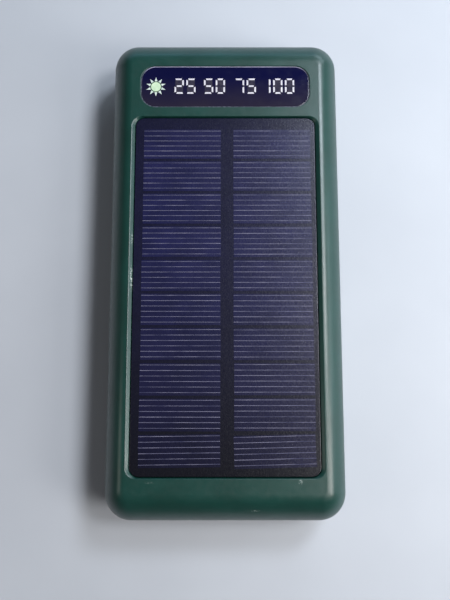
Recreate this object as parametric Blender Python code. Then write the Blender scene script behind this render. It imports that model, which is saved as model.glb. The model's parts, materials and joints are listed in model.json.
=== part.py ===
"""Solar power bank: a two-shell housing with a solar panel, a charge display, sockets and a torch.

Metres, +Z up. The origin is at the bottom centre of the housing, X runs across it, +Y towards the
end with the display and the sockets, and the base lies at Z = 0.
Run with: blender --background --python part.py
"""

import math

import bmesh
import bpy
from mathutils import Vector

MM = 0.001

# Clearances between pieces that touch on the real thing
GAP = 0.3 * MM
FILM_GAP = 0.1 * MM  # inside the solar and display stacks

# Housing
CASE_WIDTH = 70.0 * MM
CASE_LENGTH = 145.5 * MM
CASE_HEIGHT = 22.0 * MM
CORNER_RADIUS = 8.0 * MM  # in plan
CREASE_RADIUS = 0.5 * MM  # what is left of a plan corner once the edge rounding has used it up
EDGE_INSET = 6.8 * MM  # from the long sides to the flat faces
END_INSET = 8.85 * MM  # from the ends to the flat faces
SHOULDER_RADIUS = 4.0 * MM  # of the edge rounding's tighter part, beside the flat faces
SHOULDER_TURN = math.radians(35)
FLANK_RADIUS = (EDGE_INSET - SHOULDER_RADIUS * math.sin(SHOULDER_TURN)) / (1 - math.sin(SHOULDER_TURN))
EDGE_RISE = SHOULDER_RADIUS + (FLANK_RADIUS - SHOULDER_RADIUS) * math.cos(SHOULDER_TURN)
WALL = 2.0 * MM
SEAM_Z = CASE_HEIGHT / 2
TONGUE_OUTSET = 1.3 * MM  # from the skin to the rear cover's tongue
REBATE_OUTSET = 1.0 * MM  # from the skin to the front cover's rebate
TONGUE_HEIGHT = 1.3 * MM
CORNER_SEGMENTS = 5
SHOULDER_SEGMENTS = 3
FLANK_SEGMENTS = 4

# Solar panel
PANEL_Y = -6.7 * MM
PANEL_WIDTH = 53.8 * MM
PANEL_LENGTH = 105.3 * MM
PANEL_CORNER = 2.6 * MM
PANEL_GAP = 0.2 * MM  # all round, between the panel and its pocket
PANEL_POCKET_DEPTH = 2.8 * MM
PANEL_LIP_DROP = 0.7 * MM  # where the pocket's sloping lip starts, below the housing face
PANEL_LIP_SIDE = 1.0 * MM  # how far the lip spreads on the long sides
PANEL_LIP_END = 0.25 * MM  # and at the ends
PANEL_FLOOR = 1.6 * MM  # housing left under the pocket
PANEL_SINK = 0.4 * MM  # panel face below the housing face
ADHESIVE_THICKNESS = 0.4 * MM
BOARD_THICKNESS = 1.2 * MM
CELL_THICKNESS = 0.2 * MM
CELL_ROWS = 10
CELL_WIDTH = 23.1 * MM
CELL_LENGTH = 9.1 * MM
ROW_PITCH = 10.01 * MM
COLUMN_SPACING = 26.9 * MM
CELL_ARRAY_X = 0.55 * MM
CELL_ARRAY_Y = -7.25 * MM
ENCAPSULANT_RIM = 1.1 * MM

# Display
DISPLAY_Y = 56.1 * MM
WINDOW_Y = 55.9 * MM
WINDOW_WIDTH = 50.9 * MM
WINDOW_LENGTH = 12.8 * MM
WINDOW_CORNER = 4.4 * MM
WINDOW_SIDE_GAP = 0.2 * MM
WINDOW_POCKET_DEPTH = 1.6 * MM
WINDOW_THICKNESS = 1.0 * MM
WINDOW_SINK = 0.3 * MM
WINDOW_LEDGE = 1.1 * MM  # housing left under the window's edge
MASK_THICKNESS = 0.1 * MM
REFLECTOR_WIDTH = 46.8 * MM
REFLECTOR_LENGTH = 7.8 * MM
REFLECTOR_HEIGHT = 3.4 * MM
REFLECTOR_WELL_DEPTH = 2.6 * MM
REFLECTOR_WELLS = (  # (centre x, width) of the sun's well and the four figures' wells
    (-21.1 * MM, 2.6 * MM),
    (-12.4 * MM, 7.4 * MM),
    (-3.3 * MM, 7.4 * MM),
    (6.4 * MM, 7.4 * MM),
    (17.2 * MM, 9.4 * MM),
)
WELL_LENGTH = 6.0 * MM
DISPLAY_BOARD_SIZE = (48.0 * MM, 12.0 * MM, 0.8 * MM)

# Port plate and what it frames
PORT_Z = SEAM_Z
PORT_PLATE_WIDTH = 53.0 * MM
PORT_PLATE_HEIGHT = 9.5 * MM
PORT_PLATE_CORNER = 3.0 * MM
PORT_PLATE_THICKNESS = 2.0 * MM
PORT_PLATE_SINK = 0.7 * MM
SOCKET_SINK = 0.7 * MM  # socket mouths behind the plate's face
USB_A_X = 17.8 * MM
USB_A_SHELL = (13.2 * MM, 5.9 * MM, 14.0 * MM)  # width, height, depth
USB_A_WALL = 0.35 * MM
USB_A_CORNER = 0.6 * MM
USB_A_TONGUE = (11.1 * MM, 1.84 * MM, 9.3 * MM)
USB_A_TONGUE_RISE = 1.0 * MM
USB_A_BLOCK = (11.9 * MM, 4.6 * MM, 3.0 * MM)
USB_C_X = -5.0 * MM
USB_C_SHELL = (8.94 * MM, 3.26 * MM, 7.3 * MM)
USB_C_WALL = 0.3 * MM
USB_C_CORNER = 1.6 * MM
USB_C_TONGUE = (6.69 * MM, 0.7 * MM, 4.5 * MM)
USB_C_BLOCK = (7.2 * MM, 1.8 * MM, 1.5 * MM)
TORCH_X = 5.2 * MM
TORCH_LENS_RADIUS = 3.4 * MM
TORCH_LENS_THICKNESS = 1.2 * MM
TORCH_CUP_DEPTH = 3.6 * MM
TORCH_CUP_WALL = 0.5 * MM
TORCH_LED_RADIUS = 1.25 * MM

# Main board
PCB_WIDTH = 60.0 * MM
PCB_LENGTH = 27.0 * MM
PCB_THICKNESS = 1.6 * MM
PCB_TOP_Z = 9.05 * MM
PCB_FRONT_Y = 69.0 * MM
PCB_CORNER = 1.5 * MM
SCREW_X = 27.2 * MM
SCREW_Y = (46.0 * MM, 63.5 * MM)
SCREW_RADIUS = 0.7 * MM
SCREW_LENGTH = 6.0 * MM
SCREW_HEAD_RADIUS = 1.8 * MM
SCREW_HEAD_HEIGHT = 1.1 * MM
SCREW_HOLE_RADIUS = 1.1 * MM
BOSS_RADIUS = 2.3 * MM
BOSS_HOLE_RADIUS = 0.85 * MM
BOSS_HOLE_DEPTH = 4.5 * MM
INDUCTOR_SIZE = (8.0 * MM, 8.0 * MM, 4.5 * MM)
CHIP_SIZE = (7.0 * MM, 7.0 * MM, 0.9 * MM)
CAPACITOR_RADIUS = 3.15 * MM
CAPACITOR_HEIGHT = 5.4 * MM

# Power button and its switch, on the +X side
BUTTON_Y = 53.0 * MM
BUTTON_TRAVEL = 0.4 * MM
BUTTON_CAP = (9.4 * MM, 3.0 * MM)  # along the housing, across the seam
BUTTON_FLANGE = (11.4 * MM, 4.2 * MM)
BUTTON_STEM = (3.0 * MM, 2.0 * MM)
BUTTON_FLANGE_THICKNESS = 0.8 * MM
BUTTON_STEM_LENGTH = 0.7 * MM
BUTTON_SINK = 0.1 * MM
SWITCH_BODY = (3.0 * MM, 4.5 * MM, 3.4 * MM)  # x, y, z
SWITCH_WELL_DEPTH = 1.2 * MM
PLUNGER = (1.9 * MM, 2.4 * MM, 1.2 * MM)
PLUNGER_CLEARANCE = 0.2 * MM

# Battery
BATTERY_Y = -9.5 * MM
BATTERY_WIDTH = 59.0 * MM
BATTERY_LENGTH = 95.0 * MM
BATTERY_CELL_HEIGHT = 6.3 * MM
BATTERY_CORNER = 1.5 * MM
BATTERY_SOFT_EDGE = 0.8 * MM
FOAM_WIDTH = 46.0 * MM
FOAM_LENGTH = 86.0 * MM
LOWER_FOAM_THICKNESS = 1.0 * MM
UPPER_FOAM_THICKNESS = 0.5 * MM
PROTECTION_BOARD_SIZE = (36.0 * MM, 1.0 * MM, 5.0 * MM)

# Wires
LEAD_RADIUS = 0.6 * MM
LEAD_SLOT = (8.0 * MM, 3.4 * MM)
LEAD_SLOT_Y = 43.4 * MM
POINTS_PER_SPAN = 5

ROUND_SEGMENTS = 16
SMOOTH_ANGLE = math.radians(35)

# Rotations that turn a shape's own +Z
TOWARDS_PORTS = (-math.pi / 2, 0, 0)  # to world +Y
TOWARDS_SIDE = (0, math.pi / 2, 0)  # to world +X

# Heights that several pieces share
PANEL_POCKET_Z = CASE_HEIGHT - PANEL_POCKET_DEPTH
PANEL_FACE_Z = CASE_HEIGHT - PANEL_SINK
WINDOW_POCKET_Z = CASE_HEIGHT - WINDOW_POCKET_DEPTH
WINDOW_TOP_Z = CASE_HEIGHT - WINDOW_SINK
REFLECTOR_TOP_Z = WINDOW_POCKET_Z - FILM_GAP
PORT_FACE_Y = CASE_LENGTH / 2 - PORT_PLATE_SINK
SOCKET_MOUTH_Y = PORT_FACE_Y - SOCKET_SINK
PCB_BOTTOM_Z = PCB_TOP_Z - PCB_THICKNESS
ON_PCB_Z = PCB_TOP_Z + GAP
LOWER_CELL_Z = WALL + GAP + LOWER_FOAM_THICKNESS + GAP
UPPER_CELL_Z = LOWER_CELL_Z + BATTERY_CELL_HEIGHT + GAP
BATTERY_TOP_Z = UPPER_CELL_Z + BATTERY_CELL_HEIGHT
BATTERY_FRONT_Y = BATTERY_Y + BATTERY_LENGTH / 2
BUTTON_FLANGE_X = CASE_WIDTH / 2 - WALL - GAP  # the flange's outer side
BUTTON_STEM_X = BUTTON_FLANGE_X - BUTTON_FLANGE_THICKNESS - BUTTON_STEM_LENGTH


# Materials


def finish(name, colour, roughness, metallic=0.0, alpha=1.0):
    """A Principled material, made once for each name."""
    known = bpy.data.materials.get(name)
    if known:
        return known
    material = bpy.data.materials.new(name)
    material.use_nodes = True
    shader = material.node_tree.nodes["Principled BSDF"]
    shader.inputs["Base Color"].default_value = (*colour, 1.0)
    shader.inputs["Roughness"].default_value = roughness
    shader.inputs["Metallic"].default_value = metallic
    shader.inputs["Alpha"].default_value = alpha
    material.diffuse_color = (*colour, alpha)
    return material


def green_plastic():
    return finish("green_plastic", (0.012, 0.085, 0.045), 0.42)


def black_plastic():
    return finish("black_plastic", (0.012, 0.012, 0.014), 0.45)


def smoked_plastic():
    return finish("smoked_plastic", (0.006, 0.007, 0.016), 0.12, alpha=0.7)


def clear_plastic():
    return finish("clear_plastic", (0.8, 0.82, 0.85), 0.1, alpha=0.3)


def clear_resin():
    return finish("clear_resin", (0.1, 0.1, 0.16), 0.35, alpha=0.3)


def black_board():
    return finish("black_board", (0.01, 0.011, 0.018), 0.5)


def green_board():
    return finish("green_board", (0.01, 0.12, 0.05), 0.5)


def silicon():
    return finish("silicon", (0.018, 0.02, 0.06), 0.3, metallic=0.3)


def plated_steel():
    return finish("plated_steel", (0.6, 0.6, 0.62), 0.3, metallic=1.0)


def bright_plating():
    return finish("bright_plating", (0.85, 0.85, 0.87), 0.12, metallic=1.0)


def led_resin():
    return finish("led_resin", (0.9, 0.86, 0.6), 0.25)


def ferrite():
    return finish("ferrite", (0.05, 0.05, 0.055), 0.7)


def foam():
    return finish("foam", (0.04, 0.04, 0.045), 0.9)


def pouch_foil():
    return finish("pouch_foil", (0.55, 0.56, 0.58), 0.35, metallic=0.8)


def red_insulation():
    return finish("red_insulation", (0.5, 0.01, 0.01), 0.5)


def black_insulation():
    return finish("black_insulation", (0.01, 0.01, 0.01), 0.5)


# Outlines and meshes


def rounded_outline(width, length, radius, segments=CORNER_SEGMENTS):
    """Points round a rectangle with round corners, centred on its own origin."""
    points = []
    for quarter in range(4):
        sign_x = 1 if quarter in (0, 3) else -1
        sign_y = 1 if quarter in (0, 1) else -1
        centre = Vector((sign_x * (width / 2 - radius), sign_y * (length / 2 - radius)))
        for step in range(segments + 1):
            angle = (quarter + step / segments) * math.pi / 2
            points.append(centre + radius * Vector((math.cos(angle), math.sin(angle))))
    return points


def rectangle(width, length, offset_y=0.0):
    half_x = width / 2
    half_y = length / 2
    corners = ((half_x, half_y), (-half_x, half_y), (-half_x, -half_y), (half_x, -half_y))
    return [Vector((x, y + offset_y)) for x, y in corners]


def circle(radius, segments=ROUND_SEGMENTS):
    turns = (2 * math.pi * step / segments for step in range(segments))
    return [radius * Vector((math.cos(turn), math.sin(turn))) for turn in turns]


def loft(name, levels, closed=False):
    """A mesh through (outline, height) levels, capped at both ends or, if closed, joined end to end."""
    builder = bmesh.new()
    rings = [[builder.verts.new((*point, height)) for point in outline] for outline, height in levels]
    pairs = list(zip(rings, rings[1:]))
    if closed:
        pairs.append((rings[-1], rings[0]))
    else:
        builder.faces.new(rings[0])
        builder.faces.new(rings[-1])
    for lower, upper in pairs:
        for index, vertex in enumerate(lower):
            after = (index + 1) % len(lower)
            builder.faces.new((vertex, lower[after], upper[after], upper[index]))
    bmesh.ops.recalc_face_normals(builder, faces=builder.faces)
    mesh = bpy.data.meshes.new(name)
    builder.to_mesh(mesh)
    builder.free()
    mesh.shade_smooth()
    mesh.set_sharp_from_angle(angle=SMOOTH_ANGLE)
    return mesh


def prism(name, outline, height):
    return loft(name, [(outline, 0.0), (outline, height)])


def block(name, size):
    return prism(name, rectangle(size[0], size[1]), size[2])


def turned(name, profile, closed=False):
    """A round mesh through (radius, height) points."""
    return loft(name, [(circle(radius), height) for radius, height in profile], closed)


def tube(name, width, length, radius, wall, depth):
    """A rounded rectangular tube, open at both ends."""
    outer = rounded_outline(width, length, radius)
    inner = rounded_outline(width - 2 * wall, length - 2 * wall, radius - wall)
    return loft(name, [(outer, 0.0), (outer, depth), (inner, depth), (inner, 0.0)], closed=True)


# Objects


def place(mesh, material, location=(0, 0, 0), rotation=(0, 0, 0), name=None):
    part = bpy.data.objects.new(name or mesh.name, mesh)
    bpy.context.scene.collection.objects.link(part)
    if not mesh.materials:
        mesh.materials.append(material)
    part.location = location
    part.rotation_euler = rotation
    return part


def tool(mesh, location=(0, 0, 0), rotation=(0, 0, 0)):
    """A hidden shape that a Boolean uses."""
    helper = bpy.data.objects.new(mesh.name, mesh)
    bpy.context.scene.collection.objects.link(helper)
    helper.location = location
    helper.rotation_euler = rotation
    helper.hide_render = True
    helper.display_type = "WIRE"
    return helper


def combine(part, helper, operation):
    modifier = part.modifiers.new(helper.name, "BOOLEAN")
    modifier.operation = operation
    modifier.solver = "EXACT"
    modifier.object = helper


def cut(part, helper):
    combine(part, helper, "DIFFERENCE")


def join(part, helper):
    combine(part, helper, "UNION")


def smooth_route(stops):
    """Points on a smooth curve through the stops of a wire's route."""
    padded = [2 * stops[0] - stops[1], *stops, 2 * stops[-1] - stops[-2]]
    route = []
    for before, start, end, after in zip(padded, padded[1:], padded[2:], padded[3:]):
        for step in range(POINTS_PER_SPAN):
            t = step / POINTS_PER_SPAN
            route.append(
                0.5 * (2 * start + (end - before) * t)
                + 0.5 * (2 * before - 5 * start + 4 * end - after) * t**2
                + 0.5 * (3 * start - 3 * end + after - before) * t**3
            )
    return [*route, stops[-1]]


def wire(name, material, stops):
    """A tube along a smooth route, as a curve with filled ends."""
    curve = bpy.data.curves.new(name, "CURVE")
    curve.dimensions = "3D"
    curve.bevel_depth = LEAD_RADIUS
    curve.bevel_resolution = 2
    curve.use_fill_caps = True
    curve.materials.append(material)
    route = smooth_route([Vector(stop) for stop in stops])
    spline = curve.splines.new("POLY")
    spline.points.add(len(route) - 1)
    for point, place_on_route in zip(spline.points, route):
        point.co = (*place_on_route, 1.0)
    part = bpy.data.objects.new(name, curve)
    bpy.context.scene.collection.objects.link(part)
    return part


# Housing shells


def case_outline(inset):
    """The outline this far in from the long sides, and in proportion from the ends."""
    end_inset = inset * END_INSET / EDGE_INSET
    radius = max(CORNER_RADIUS - inset, CREASE_RADIUS)
    return rounded_outline(CASE_WIDTH - 2 * inset, CASE_LENGTH - 2 * end_inset, radius)


def arc_levels(middle_inset, middle_height, radius, start, end, segments):
    turns = (start + (end - start) * step / segments for step in range(segments + 1))
    return [(middle_inset - radius * math.sin(t), middle_height - radius * math.cos(t)) for t in turns]


def edge_levels(depth):
    """(inset, height) steps up the rounded lower edge of a surface this deep under the skin."""
    shoulder_radius = SHOULDER_RADIUS - depth
    shoulder = arc_levels(EDGE_INSET, SHOULDER_RADIUS, shoulder_radius, 0, SHOULDER_TURN, SHOULDER_SEGMENTS)
    flank_radius = FLANK_RADIUS - depth
    flank = arc_levels(FLANK_RADIUS, EDGE_RISE, flank_radius, SHOULDER_TURN, math.pi / 2, FLANK_SEGMENTS)
    return shoulder + flank[1:]


def shell_mesh(name, seam_levels, upside_down):
    """A shell from its outer floor up the skin, along the seam's steps and down to its inner floor."""
    levels = edge_levels(0.0) + seam_levels + edge_levels(WALL)[::-1]
    if upside_down:
        levels = [(inset, CASE_HEIGHT - height) for inset, height in levels]
    return loft(name, [(case_outline(inset), height) for inset, height in levels])


def port_notch():
    outline = rounded_outline(
        PORT_PLATE_WIDTH + 2 * GAP, PORT_PLATE_HEIGHT + 2 * GAP, PORT_PLATE_CORNER + GAP
    )
    return tool(
        prism("port_notch", outline, 4 * WALL),
        (0, CASE_LENGTH / 2 - 2 * WALL, PORT_Z),
        TOWARDS_PORTS,
    )


def button_slot():
    length, height = BUTTON_CAP
    outline = rounded_outline(height + 2 * GAP, length + 2 * GAP, height / 2 + GAP - FILM_GAP)
    return tool(
        prism("button_slot", outline, 2 * WALL),
        (CASE_WIDTH / 2 - 1.5 * WALL, BUTTON_Y, SEAM_Z),
        TOWARDS_SIDE,
    )


def add_front_cover(notch, slot):
    tongue_top = SEAM_Z - GAP / 2 + TONGUE_HEIGHT + GAP
    seam = [
        (0.0, CASE_HEIGHT - SEAM_Z - GAP / 2),
        (REBATE_OUTSET, CASE_HEIGHT - SEAM_Z - GAP / 2),
        (REBATE_OUTSET, CASE_HEIGHT - tongue_top),
        (WALL, CASE_HEIGHT - tongue_top),
    ]
    cover = place(shell_mesh("front_cover", seam, upside_down=True), green_plastic())

    bed_width = PANEL_WIDTH + 2 * (PANEL_GAP + PANEL_FLOOR)
    bed_length = PANEL_LENGTH + 2 * (PANEL_GAP + PANEL_FLOOR)
    bed_z = PANEL_POCKET_Z - PANEL_FLOOR
    bed = rounded_outline(bed_width, bed_length, PANEL_CORNER)
    bed_height = CASE_HEIGHT - WALL + GAP - bed_z  # into the skin all round
    join(cover, tool(prism("panel_bed", bed, bed_height), (0, PANEL_Y, bed_z)))

    frame_z = WINDOW_POCKET_Z - WINDOW_LEDGE
    frame = rounded_outline(WINDOW_WIDTH + 3 * MM, WINDOW_LENGTH + 3 * MM, WINDOW_CORNER)
    join(cover, tool(prism("window_frame", frame, WINDOW_LEDGE), (0, WINDOW_Y, frame_z)))

    pocket = rounded_outline(PANEL_WIDTH + 2 * PANEL_GAP, PANEL_LENGTH + 2 * PANEL_GAP, PANEL_CORNER + PANEL_GAP)
    lip = rounded_outline(
        PANEL_WIDTH + 2 * (PANEL_GAP + PANEL_LIP_SIDE),
        PANEL_LENGTH + 2 * (PANEL_GAP + PANEL_LIP_END),
        PANEL_CORNER + PANEL_GAP + PANEL_LIP_END,
    )
    levels = [
        (pocket, 0.0),
        (pocket, PANEL_POCKET_DEPTH - PANEL_LIP_DROP),
        (lip, PANEL_POCKET_DEPTH),
        (lip, 2 * PANEL_POCKET_DEPTH),
    ]
    cut(cover, tool(loft("panel_pocket", levels), (0, PANEL_Y, PANEL_POCKET_Z)))

    pocket = rounded_outline(
        WINDOW_WIDTH + 2 * WINDOW_SIDE_GAP,
        WINDOW_LENGTH + 2 * WINDOW_SIDE_GAP,
        WINDOW_CORNER + WINDOW_SIDE_GAP,
    )
    cut(cover, tool(prism("window_pocket", pocket, 2 * WINDOW_POCKET_DEPTH), (0, WINDOW_Y, WINDOW_POCKET_Z)))

    opening = rounded_outline(REFLECTOR_WIDTH + 2 * GAP, REFLECTOR_LENGTH + 2 * GAP, 1.0 * MM)
    opening_tool = prism("display_opening", opening, 3 * WINDOW_LEDGE)
    cut(cover, tool(opening_tool, (0, DISPLAY_Y, frame_z - WINDOW_LEDGE)))

    wire_slot = rounded_outline(*LEAD_SLOT, LEAD_SLOT[1] / 3)
    cut(cover, tool(prism("lead_slot", wire_slot, 3 * PANEL_FLOOR), (0, LEAD_SLOT_Y, bed_z - PANEL_FLOOR)))

    cut(cover, notch)
    cut(cover, slot)


def add_rear_cover(notch, slot):
    tongue_top = SEAM_Z - GAP / 2 + TONGUE_HEIGHT
    seam = [
        (0.0, SEAM_Z - GAP / 2),
        (TONGUE_OUTSET, SEAM_Z - GAP / 2),
        (TONGUE_OUTSET, tongue_top),
        (WALL, tongue_top),
    ]
    cover = place(shell_mesh("rear_cover", seam, upside_down=False), green_plastic())

    boss_top = PCB_BOTTOM_Z - GAP
    boss = turned("screw_boss", [(BOSS_RADIUS, WALL / 2), (BOSS_RADIUS, boss_top)])
    hole = turned("boss_hole", [(BOSS_HOLE_RADIUS, boss_top - BOSS_HOLE_DEPTH), (BOSS_HOLE_RADIUS, boss_top + GAP)])
    for x, y in screw_places():
        join(cover, tool(boss, (x, y, 0)))
    for x, y in screw_places():
        cut(cover, tool(hole, (x, y, 0)))

    cut(cover, notch)
    cut(cover, slot)


# Solar panel, from the pocket's floor upwards


def add_solar_panel():
    adhesive_z = PANEL_POCKET_Z + FILM_GAP
    adhesive = rounded_outline(PANEL_WIDTH - 6 * MM, PANEL_LENGTH - 3 * MM, PANEL_CORNER)
    pad = place(prism("solar_adhesive", adhesive, ADHESIVE_THICKNESS), foam(), (0, PANEL_Y, adhesive_z))
    clearance = rounded_outline(*LEAD_SLOT, LEAD_SLOT[1] / 3)
    cut(pad, tool(prism("adhesive_slot", clearance, 3 * ADHESIVE_THICKNESS), (0, LEAD_SLOT_Y, PANEL_POCKET_Z)))

    board_z = adhesive_z + ADHESIVE_THICKNESS + FILM_GAP
    board = rounded_outline(PANEL_WIDTH, PANEL_LENGTH, PANEL_CORNER)
    place(prism("solar_board", board, BOARD_THICKNESS), black_board(), (0, PANEL_Y, board_z))

    cell_z = board_z + BOARD_THICKNESS + FILM_GAP
    cell = block("solar_cell", (CELL_WIDTH, CELL_LENGTH, CELL_THICKNESS))
    for side, sign in (("left", -1), ("right", 1)):
        for row in range(CELL_ROWS):
            x = CELL_ARRAY_X + sign * COLUMN_SPACING / 2
            y = CELL_ARRAY_Y + ((CELL_ROWS - 1) / 2 - row) * ROW_PITCH
            place(cell, silicon(), (x, y, cell_z), name=f"solar_cell_{side}_{row + 1}")

    cover = prism("solar_encapsulant", board, PANEL_FACE_Z - cell_z)
    cover = place(cover, clear_resin(), (0, PANEL_Y, cell_z))
    hollow = rounded_outline(
        PANEL_WIDTH - 2 * ENCAPSULANT_RIM, PANEL_LENGTH - 2 * ENCAPSULANT_RIM, PANEL_CORNER - ENCAPSULANT_RIM
    )
    hollow_height = GAP + CELL_THICKNESS + FILM_GAP
    cut(cover, tool(prism("cell_hollow", hollow, hollow_height), (0, PANEL_Y, cell_z - GAP)))


# Display, from its window downwards


def add_display():
    window = rounded_outline(WINDOW_WIDTH, WINDOW_LENGTH, WINDOW_CORNER)
    window_z = WINDOW_TOP_Z - WINDOW_THICKNESS
    place(prism("display_window", window, WINDOW_THICKNESS), smoked_plastic(), (0, WINDOW_Y, window_z))

    mask = rounded_outline(WINDOW_WIDTH - 1 * MM, WINDOW_LENGTH - 1 * MM, WINDOW_CORNER - 0.5 * MM)
    mask_z = window_z - FILM_GAP - MASK_THICKNESS
    place(prism("display_mask", mask, MASK_THICKNESS), black_plastic(), (0, WINDOW_Y, mask_z))

    reflector_z = REFLECTOR_TOP_Z - REFLECTOR_HEIGHT
    body = block("display_reflector", (REFLECTOR_WIDTH, REFLECTOR_LENGTH, REFLECTOR_HEIGHT))
    reflector = place(body, black_plastic(), (0, DISPLAY_Y, reflector_z))
    for index, (x, width) in enumerate(REFLECTOR_WELLS):
        well = block(f"reflector_well_{index}", (width, WELL_LENGTH, 2 * REFLECTOR_WELL_DEPTH))
        cut(reflector, tool(well, (x, DISPLAY_Y, REFLECTOR_TOP_Z - REFLECTOR_WELL_DEPTH)))

    board_z = reflector_z - GAP - DISPLAY_BOARD_SIZE[2]
    place(block("display_board", DISPLAY_BOARD_SIZE), green_board(), (0, DISPLAY_Y, board_z))


# Port plate, sockets and torch


def add_socket(name, x, shell, wall, corner, back, tongue, tongue_rise):
    """A metal shell with its mouth towards +Y, and the plastic block and tongue inside it."""
    width, height, depth = shell
    place(
        tube(f"{name}_shell", width, height, corner, wall, depth),
        plated_steel(),
        (x, SOCKET_MOUTH_Y - depth, PORT_Z),
        TOWARDS_PORTS,
    )
    # The shape's own +Y points down once it is turned, so a tongue that sits high has a negative offset.
    levels = [
        (rectangle(back[0], back[1]), 0.0),
        (rectangle(back[0], back[1]), back[2]),
        (rectangle(tongue[0], tongue[1], -tongue_rise), back[2]),
        (rectangle(tongue[0], tongue[1], -tongue_rise), back[2] + tongue[2]),
    ]
    place(
        loft(f"{name}_tongue", levels),
        black_plastic(),
        (x, SOCKET_MOUTH_Y - depth + GAP, PORT_Z),
        TOWARDS_PORTS,
    )


def add_sockets():
    for side, sign in (("left", -1), ("right", 1)):
        add_socket(
            f"usb_a_{side}",
            sign * USB_A_X,
            USB_A_SHELL,
            USB_A_WALL,
            USB_A_CORNER,
            USB_A_BLOCK,
            USB_A_TONGUE,
            USB_A_TONGUE_RISE,
        )
    add_socket("usb_c", USB_C_X, USB_C_SHELL, USB_C_WALL, USB_C_CORNER, USB_C_BLOCK, USB_C_TONGUE, 0.0)


def add_port_plate():
    outline = rounded_outline(PORT_PLATE_WIDTH, PORT_PLATE_HEIGHT, PORT_PLATE_CORNER)
    plate = place(
        prism("port_plate", outline, PORT_PLATE_THICKNESS),
        black_plastic(),
        (0, PORT_FACE_Y - PORT_PLATE_THICKNESS, PORT_Z),
        TOWARDS_PORTS,
    )
    mouth_a = rounded_outline(USB_A_SHELL[0] + 2 * GAP, USB_A_SHELL[1] + 2 * GAP, USB_A_CORNER + GAP)
    mouth_c = rounded_outline(USB_C_SHELL[0] + 2 * GAP, USB_C_SHELL[1] + 2 * GAP, USB_C_CORNER + GAP)
    mouths = (
        ("usb_a_left_mouth", -USB_A_X, mouth_a),
        ("usb_a_right_mouth", USB_A_X, mouth_a),
        ("usb_c_mouth", USB_C_X, mouth_c),
        ("torch_mouth", TORCH_X, circle(TORCH_LENS_RADIUS + GAP)),
    )
    for name, x, mouth in mouths:
        mouth_tool = prism(name, mouth, 2 * PORT_PLATE_THICKNESS)
        cut(plate, tool(mouth_tool, (x, PORT_FACE_Y - 1.5 * PORT_PLATE_THICKNESS, PORT_Z), TOWARDS_PORTS))


def add_torch():
    lens_y = SOCKET_MOUTH_Y - TORCH_LENS_THICKNESS
    lens_edge = TORCH_LENS_THICKNESS / 2
    lens = turned(
        "torch_lens",
        [
            (TORCH_LENS_RADIUS, 0.0),
            (TORCH_LENS_RADIUS, lens_edge),
            (0.7 * TORCH_LENS_RADIUS, TORCH_LENS_THICKNESS),
            (0.2 * TORCH_LENS_RADIUS, TORCH_LENS_THICKNESS + FILM_GAP),
        ],
    )
    place(lens, clear_plastic(), (TORCH_X, lens_y, PORT_Z), TOWARDS_PORTS)

    cup_mouth = TORCH_LENS_RADIUS - GAP
    cup_throat = TORCH_LED_RADIUS + TORCH_CUP_WALL + GAP
    cup = turned(
        "torch_reflector",
        [
            (cup_throat, 0.0),
            (cup_mouth, TORCH_CUP_DEPTH),
            (cup_mouth - TORCH_CUP_WALL, TORCH_CUP_DEPTH),
            (cup_throat - TORCH_CUP_WALL, 0.0),
        ],
        closed=True,
    )
    cup_y = lens_y - GAP - TORCH_CUP_DEPTH
    place(cup, bright_plating(), (TORCH_X, cup_y, PORT_Z), TOWARDS_PORTS)

    led = turned(
        "torch_led",
        [
            (2 * TORCH_LED_RADIUS, 0.0),
            (2 * TORCH_LED_RADIUS, TORCH_LED_RADIUS),
            (TORCH_LED_RADIUS, TORCH_LED_RADIUS),
            (TORCH_LED_RADIUS, 2 * TORCH_LED_RADIUS),
            (0.6 * TORCH_LED_RADIUS, 2.7 * TORCH_LED_RADIUS),
        ],
    )
    place(led, led_resin(), (TORCH_X, cup_y - GAP - TORCH_LED_RADIUS, PORT_Z), TOWARDS_PORTS)


# Main board and what is on it


def screw_places():
    return [(side * SCREW_X, y) for side in (-1, 1) for y in SCREW_Y]


def add_main_board():
    outline = rounded_outline(PCB_WIDTH, PCB_LENGTH, PCB_CORNER)
    board_y = PCB_FRONT_Y - PCB_LENGTH / 2
    board = place(prism("main_board", outline, PCB_THICKNESS), green_board(), (0, board_y, PCB_BOTTOM_Z))
    notches = (
        ("usb_a_left_notch", -USB_A_X, USB_A_SHELL[0] + 2 * GAP, USB_A_SHELL[2]),
        ("usb_a_right_notch", USB_A_X, USB_A_SHELL[0] + 2 * GAP, USB_A_SHELL[2]),
        ("torch_notch", TORCH_X, 2 * TORCH_LENS_RADIUS + 2 * GAP, 2 * TORCH_CUP_DEPTH),
    )
    for name, x, width, depth in notches:
        back_y = SOCKET_MOUTH_Y - depth - GAP
        notch = block(name, (width, 2 * depth, 3 * PCB_THICKNESS))
        cut(board, tool(notch, (x, back_y + depth, PCB_BOTTOM_Z - PCB_THICKNESS)))
    hole = turned("screw_hole", [(SCREW_HOLE_RADIUS, 0.0), (SCREW_HOLE_RADIUS, 3 * PCB_THICKNESS)])
    for x, y in screw_places():
        cut(board, tool(hole, (x, y, PCB_BOTTOM_Z - PCB_THICKNESS)))


def add_board_parts():
    coil = rounded_outline(INDUCTOR_SIZE[0], INDUCTOR_SIZE[1], 1.5 * MM)
    place(prism("inductor", coil, INDUCTOR_SIZE[2]), ferrite(), (5.5 * MM, 50.0 * MM, ON_PCB_Z))
    place(block("controller_chip", CHIP_SIZE), black_plastic(), (-5.0 * MM, 51.0 * MM, ON_PCB_Z))
    can = turned(
        "capacitor",
        [
            (CAPACITOR_RADIUS, 0.0),
            (CAPACITOR_RADIUS, CAPACITOR_HEIGHT - GAP),
            (CAPACITOR_RADIUS - GAP, CAPACITOR_HEIGHT),
        ],
    )
    place(can, plated_steel(), (17.0 * MM, 50.0 * MM, ON_PCB_Z))


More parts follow.
